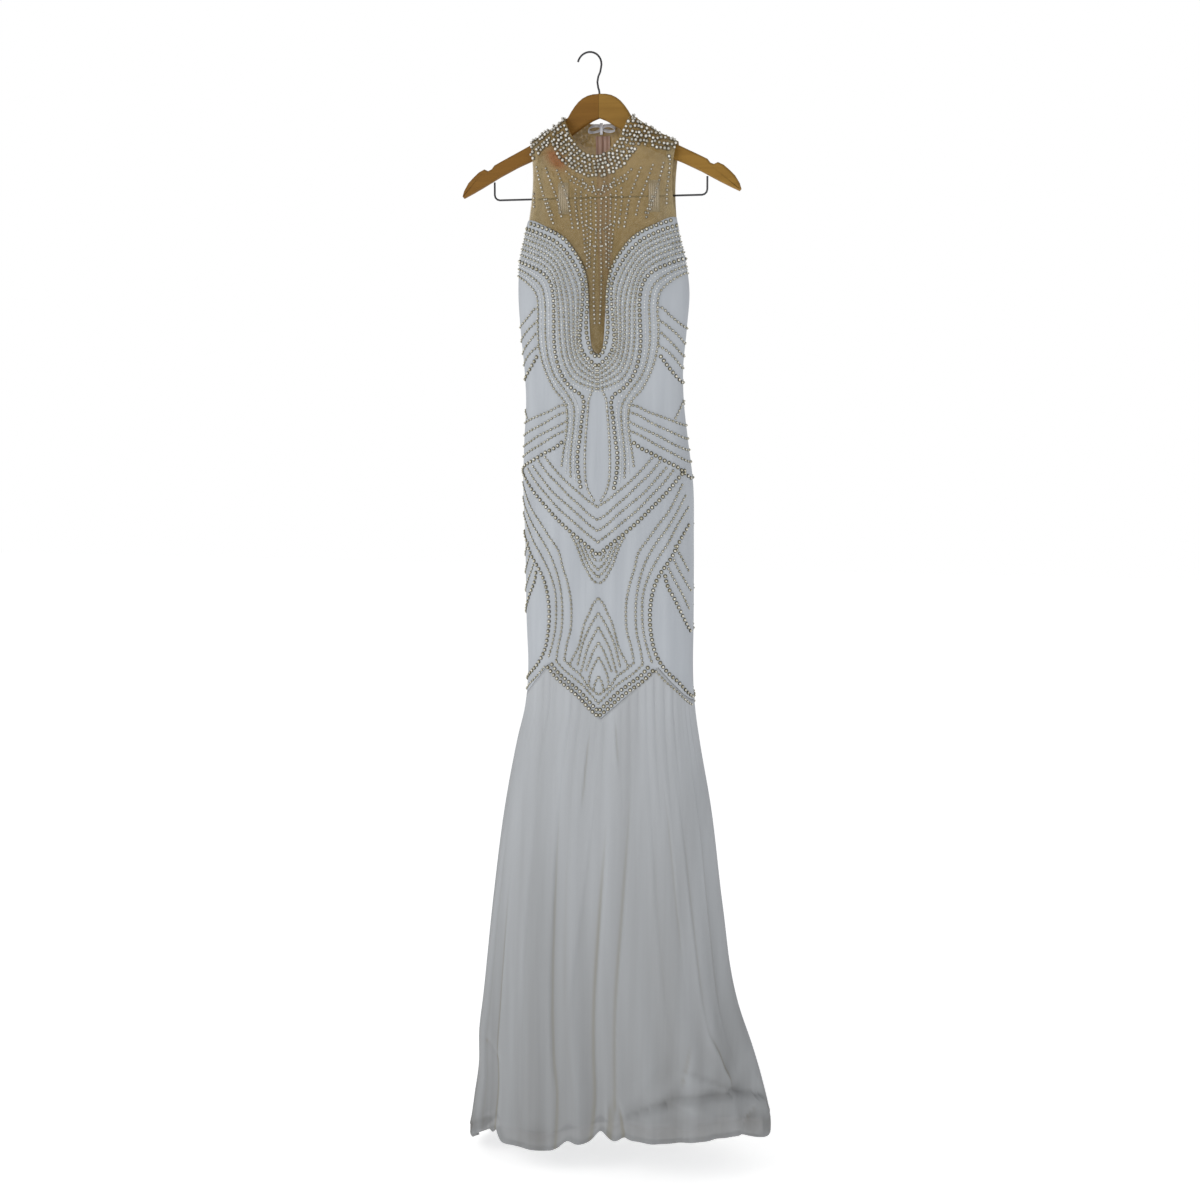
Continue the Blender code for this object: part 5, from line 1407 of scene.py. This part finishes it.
# Each lobe is an ellipse in x and z whose outer end sags; the ribbon's width lies aslant, back and up
def ribbonLobe(sign):
    turn = np.linspace(0.0, 2 * math.pi, 49)[:, None]
    width = np.linspace(-0.5, 0.5, 7) * labelValues["width"]
    long, tall = labelValues["lobe"]
    x = shape["hangerX"] + sign * (long + labelValues["apart"] + long * np.cos(turn))
    drop = labelValues["drop"] + tall * np.sin(turn) + labelValues["sag"] * ((1 + np.cos(turn)) / 2) ** 2
    curl = labelValues["curl"] * np.cos(3 * turn + sign) * (width / labelValues["width"])
    y = labelValues["y"] + width * math.cos(labelValues["tilt"]) + 0 * turn
    z = -drop + width * math.sin(labelValues["tilt"]) + curl
    return np.stack([x + 0 * width, y, z], -1)


# The bar: a short upright strip that bows forwards along its length and falls back at its sides
def ribbonBar():
    down = np.linspace(0.0, 1.0, 9)[:, None]
    across = np.linspace(-1.0, 1.0, 7)
    longBow, wideBow = labelValues["barBow"]
    return np.stack([
        shape["hangerX"] + labelValues["barHalf"] * across + 0 * down,
        labelValues["barY"] - longBow * np.sin(math.pi * down) - wideBow * across**2,
        -(labelValues["barTop"] + labelValues["barLength"] * down) + 0 * across,
    ], -1)


lobes = np.stack([ribbonLobe(-1), ribbonLobe(1)])
lobeQuads = gridQuads(*lobes.shape[1:3])
labelQuads = np.concatenate([lobeQuads, lobeQuads + lobes[0, ..., 0].size])
label = addPiece("label", fillMesh("label", lobes.reshape(-1, 3), labelQuads), ribbon, replaces=("label",),
                 slot="label_ribbon")
label.modifiers.new("thickness", "SOLIDIFY").thickness = labelValues["thickness"]
addSheet("labelBar", ribbonBar(), ribbon, labelValues["barThickness"], slot="label_ribbon")

# Stitches: short raised threads at an even pitch along a path that lies on the cloth
stitchValues = {
    "pitch": 0.0031,
    "size": (0.00105, 0.00024, 0.00020),
    "lift": 0.0001,
    "fromEdge": 3,
    "fromZip": 0.0055,
}


# Normals point away from the middle plane of the dress, at right angles to the path
def addStitches(name, paths, material, slot):
    at, along, normal = [], [], []
    for path in paths:
        run = runLength(path)
        where = np.arange(0.5 * stitchValues["pitch"], run[-1], stitchValues["pitch"])
        at.append(readAlong(where, run, path))
        along.append(unit(readAlong(where, run, unit(np.gradient(path, axis=0)))))
        out = at[-1] * np.array([0.2, 1.0, 0.0]) + np.array([1e-6, 0.0, 0.0])
        normal.append(unit(out - along[-1] * (out * along[-1]).sum(axis=1, keepdims=True)))
    places = [np.concatenate(part) for part in (at, along, normal)]
    addBeads(name, ball(4, 3), places, stitchValues["size"], stitchValues["lift"], material, 51, slot=slot)


# Zip: from the neck down the back seam
zipValues = {
    "drops": (0.1195, 0.788, 0.0012),
    "toothOut": 0.0004,
    "tooth": (0.0012, 0.00045, 0.0005),
    "outside": 0.0003,
    "inside": -0.0030,
}
zipPath = np.concatenate([backGrids["left"][:, 0], bodiceBackGrid(-1)[:, 0]])
zipDrops = np.arange(*zipValues["drops"])
zipLine = np.stack([np.interp(zipDrops, -zipPath[:, 2], zipPath[:, k]) for k in (0, 1)] + [-zipDrops], -1)
armholePaths = [grid[2:, column] for grid, column in (
    (frontGrid, stitchValues["fromEdge"]), (frontGrid, -1 - stitchValues["fromEdge"]),
    (backGrids["left"], -1 - stitchValues["fromEdge"]), (backGrids["right"], stitchValues["fromEdge"]),
)]
addStitches("armholeStitches", armholePaths, stitchThread, "nude_mesh")
besideZip = [zipLine + np.array([side * stitchValues["fromZip"], 0.0, 0.0]) for side in (-1, 1)]
addStitches("zipStitches", besideZip, whiteThread, "white_crepe")

# Small teeth that lock in turn from the left and right, metal outside and thread inside the seam
toothSide = np.where(np.arange(len(zipLine)) % 2 == 0, -1.0, 1.0)[:, None]
toothAt = zipLine + toothSide * np.array([[zipValues["toothOut"], 0.0, 0.0]])
across, outwards = [np.tile(way, (len(zipLine), 1)) for way in ((1.0, 0.0, 0.0), (0.0, 1.0, 0.0))]
for name, depth, material, slot in (
    ("zipTeeth.outer", zipValues["outside"], zipMetal, "zip_metal"),
    ("zipTeeth.inner", zipValues["inside"], zipTape, "zip_tape"),
):
    places = toothAt, across, outwards
    addBeads(name, ball(4, 3), places, zipValues["tooth"], depth, material, 52, slot=slot)

# Clips: five upright ribs pressed into the front of each steel jaw, painted near-white as highlights for the
# steel's bright reflections
clipValues = {
    "places": (-0.0405, 0.1005),
    "ribs": (-0.0062, -0.0031, 0.0, 0.0031, 0.0062),
    "size": (0.0205, 0.0009, 0.0009),
    "face": -0.0043,
    "middle": -0.214,
}
ribAt = np.array([(place + rib, clipValues["face"], clipValues["middle"])
                  for place in clipValues["places"] for rib in clipValues["ribs"]])
upwards, forwards = [np.tile(way, (len(ribAt), 1)) for way in ((0.0, 0.0, 1.0), (0.0, -1.0, 0.0))]
addBeads("clipRibs", ball(8, 12), (ribAt, upwards, forwards), clipValues["size"], 0.0, ribPaintedGlint, 53,
         slot="bright_steel")

# The frame's own small solids keep their shape and take a made finish
plainFinishes = {
    "armhole_facing_left": armholeNetLitPaint, "armhole_facing_right": armholeNetLitPaint,
    "zip_tape_left": zipTape, "zip_tape_right": zipTape,
    "zip_slider": zipMetal, "zip_pull": zipMetal,
    "hanger_left": woodDark, "hanger_right": woodLight,
    "hook": wireSteel, "trouser_bar": wireSteel, "clip_1": clipSteel, "clip_2": clipSteel,
}
for name, material in plainFinishes.items():
    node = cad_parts[name]
    for slot in node.material_slots:
        slot.material = material

print("scene: camera, floor and light")

studio = {
    "target": (0.01626, 0.0, -0.83311),
    "camera": (0.55736, -2.44074, -0.51728),
    "lens": 48.0,
    "floorDrop": 1.752,
    "floorHalf": 9.0,
    "floorGlow": 0.62,
    "sky": 0.45,
}
# Soft lamps: place, point they face, size in metres, watts, colour
lamps = {
    "key": ((-1.7, -2.3, 0.8), (0.0, 0.0, -0.7), 1.6, 30.0, (1.0, 0.99, 0.97)),
    "fill": ((1.9, -1.6, 0.2), (0.0, 0.0, -0.9), 1.8, 5.5, (0.95, 0.97, 1.0)),
}
white = (1.0, 1.0, 1.0, 1.0)


# Turn that makes a camera or lamp at one place face another
def turnToFace(place, target):
    return (Vector(target) - Vector(place)).to_track_quat("-Z", "Y").to_euler()


def addCamera():
    camera = bpy.data.objects.new("camera", bpy.data.cameras.new("camera"))
    bpy.context.scene.collection.objects.link(camera)
    camera.data.sensor_width = 36.0
    camera.data.lens = studio["lens"]
    camera.location = studio["camera"]
    camera.rotation_euler = turnToFace(studio["camera"], studio["target"])
    camera.data.clip_end = 50.0
    bpy.context.scene.camera = camera


def addLight(name, place, target, size, energy, colour):
    data = bpy.data.lights.new(name, "AREA")
    data.size = size
    data.energy = energy
    data.color = colour
    lamp = bpy.data.objects.new(name, data)
    bpy.context.scene.collection.objects.link(lamp)
    lamp.location = place
    lamp.rotation_euler = turnToFace(place, target)


# Pale floor that gives off a little light, so that it stays as white as the background
def addFloor():
    glow = {"Emission_Strength": studio["floorGlow"], "Emission_Color": white}
    made = newMaterial("paleFloor", "#F4F4F4", 0.9, **glow)[0]
    half, drop = studio["floorHalf"], studio["floorDrop"]
    corners = np.array([(half * x, half * y, -drop) for x, y in ((-1, -1), (1, -1), (1, 1), (-1, 1))])
    mesh = fillMesh("floor", corners, np.array([[0, 1, 2, 3]]))
    mesh.materials.append(made)
    floor = bpy.data.objects.new("floor", mesh)
    bpy.context.scene.collection.objects.link(floor)


# White background that lights the dress with less than its own brightness
def setWorld():
    world = bpy.data.worlds.new("studio")
    bpy.context.scene.world = world
    world.use_nodes = True
    tree = world.node_tree
    sky = tree.nodes["Background"]
    sky.inputs["Color"].default_value = white
    path = addNode(tree, "ShaderNodeLightPath")
    strength = addNode(tree, "ShaderNodeMapRange", None, {"To Min": studio["sky"], "To Max": 1.0},
                       [("Value", path, "Is Camera Ray")])
    tree.links.new(strength.outputs[0], sky.inputs["Strength"])


addCamera()
addFloor()
setWorld()
for name, values in lamps.items():
    addLight(name, *values)
bpy.context.scene.view_settings.view_transform = "Standard"
bpy.context.scene.view_settings.look = "None"
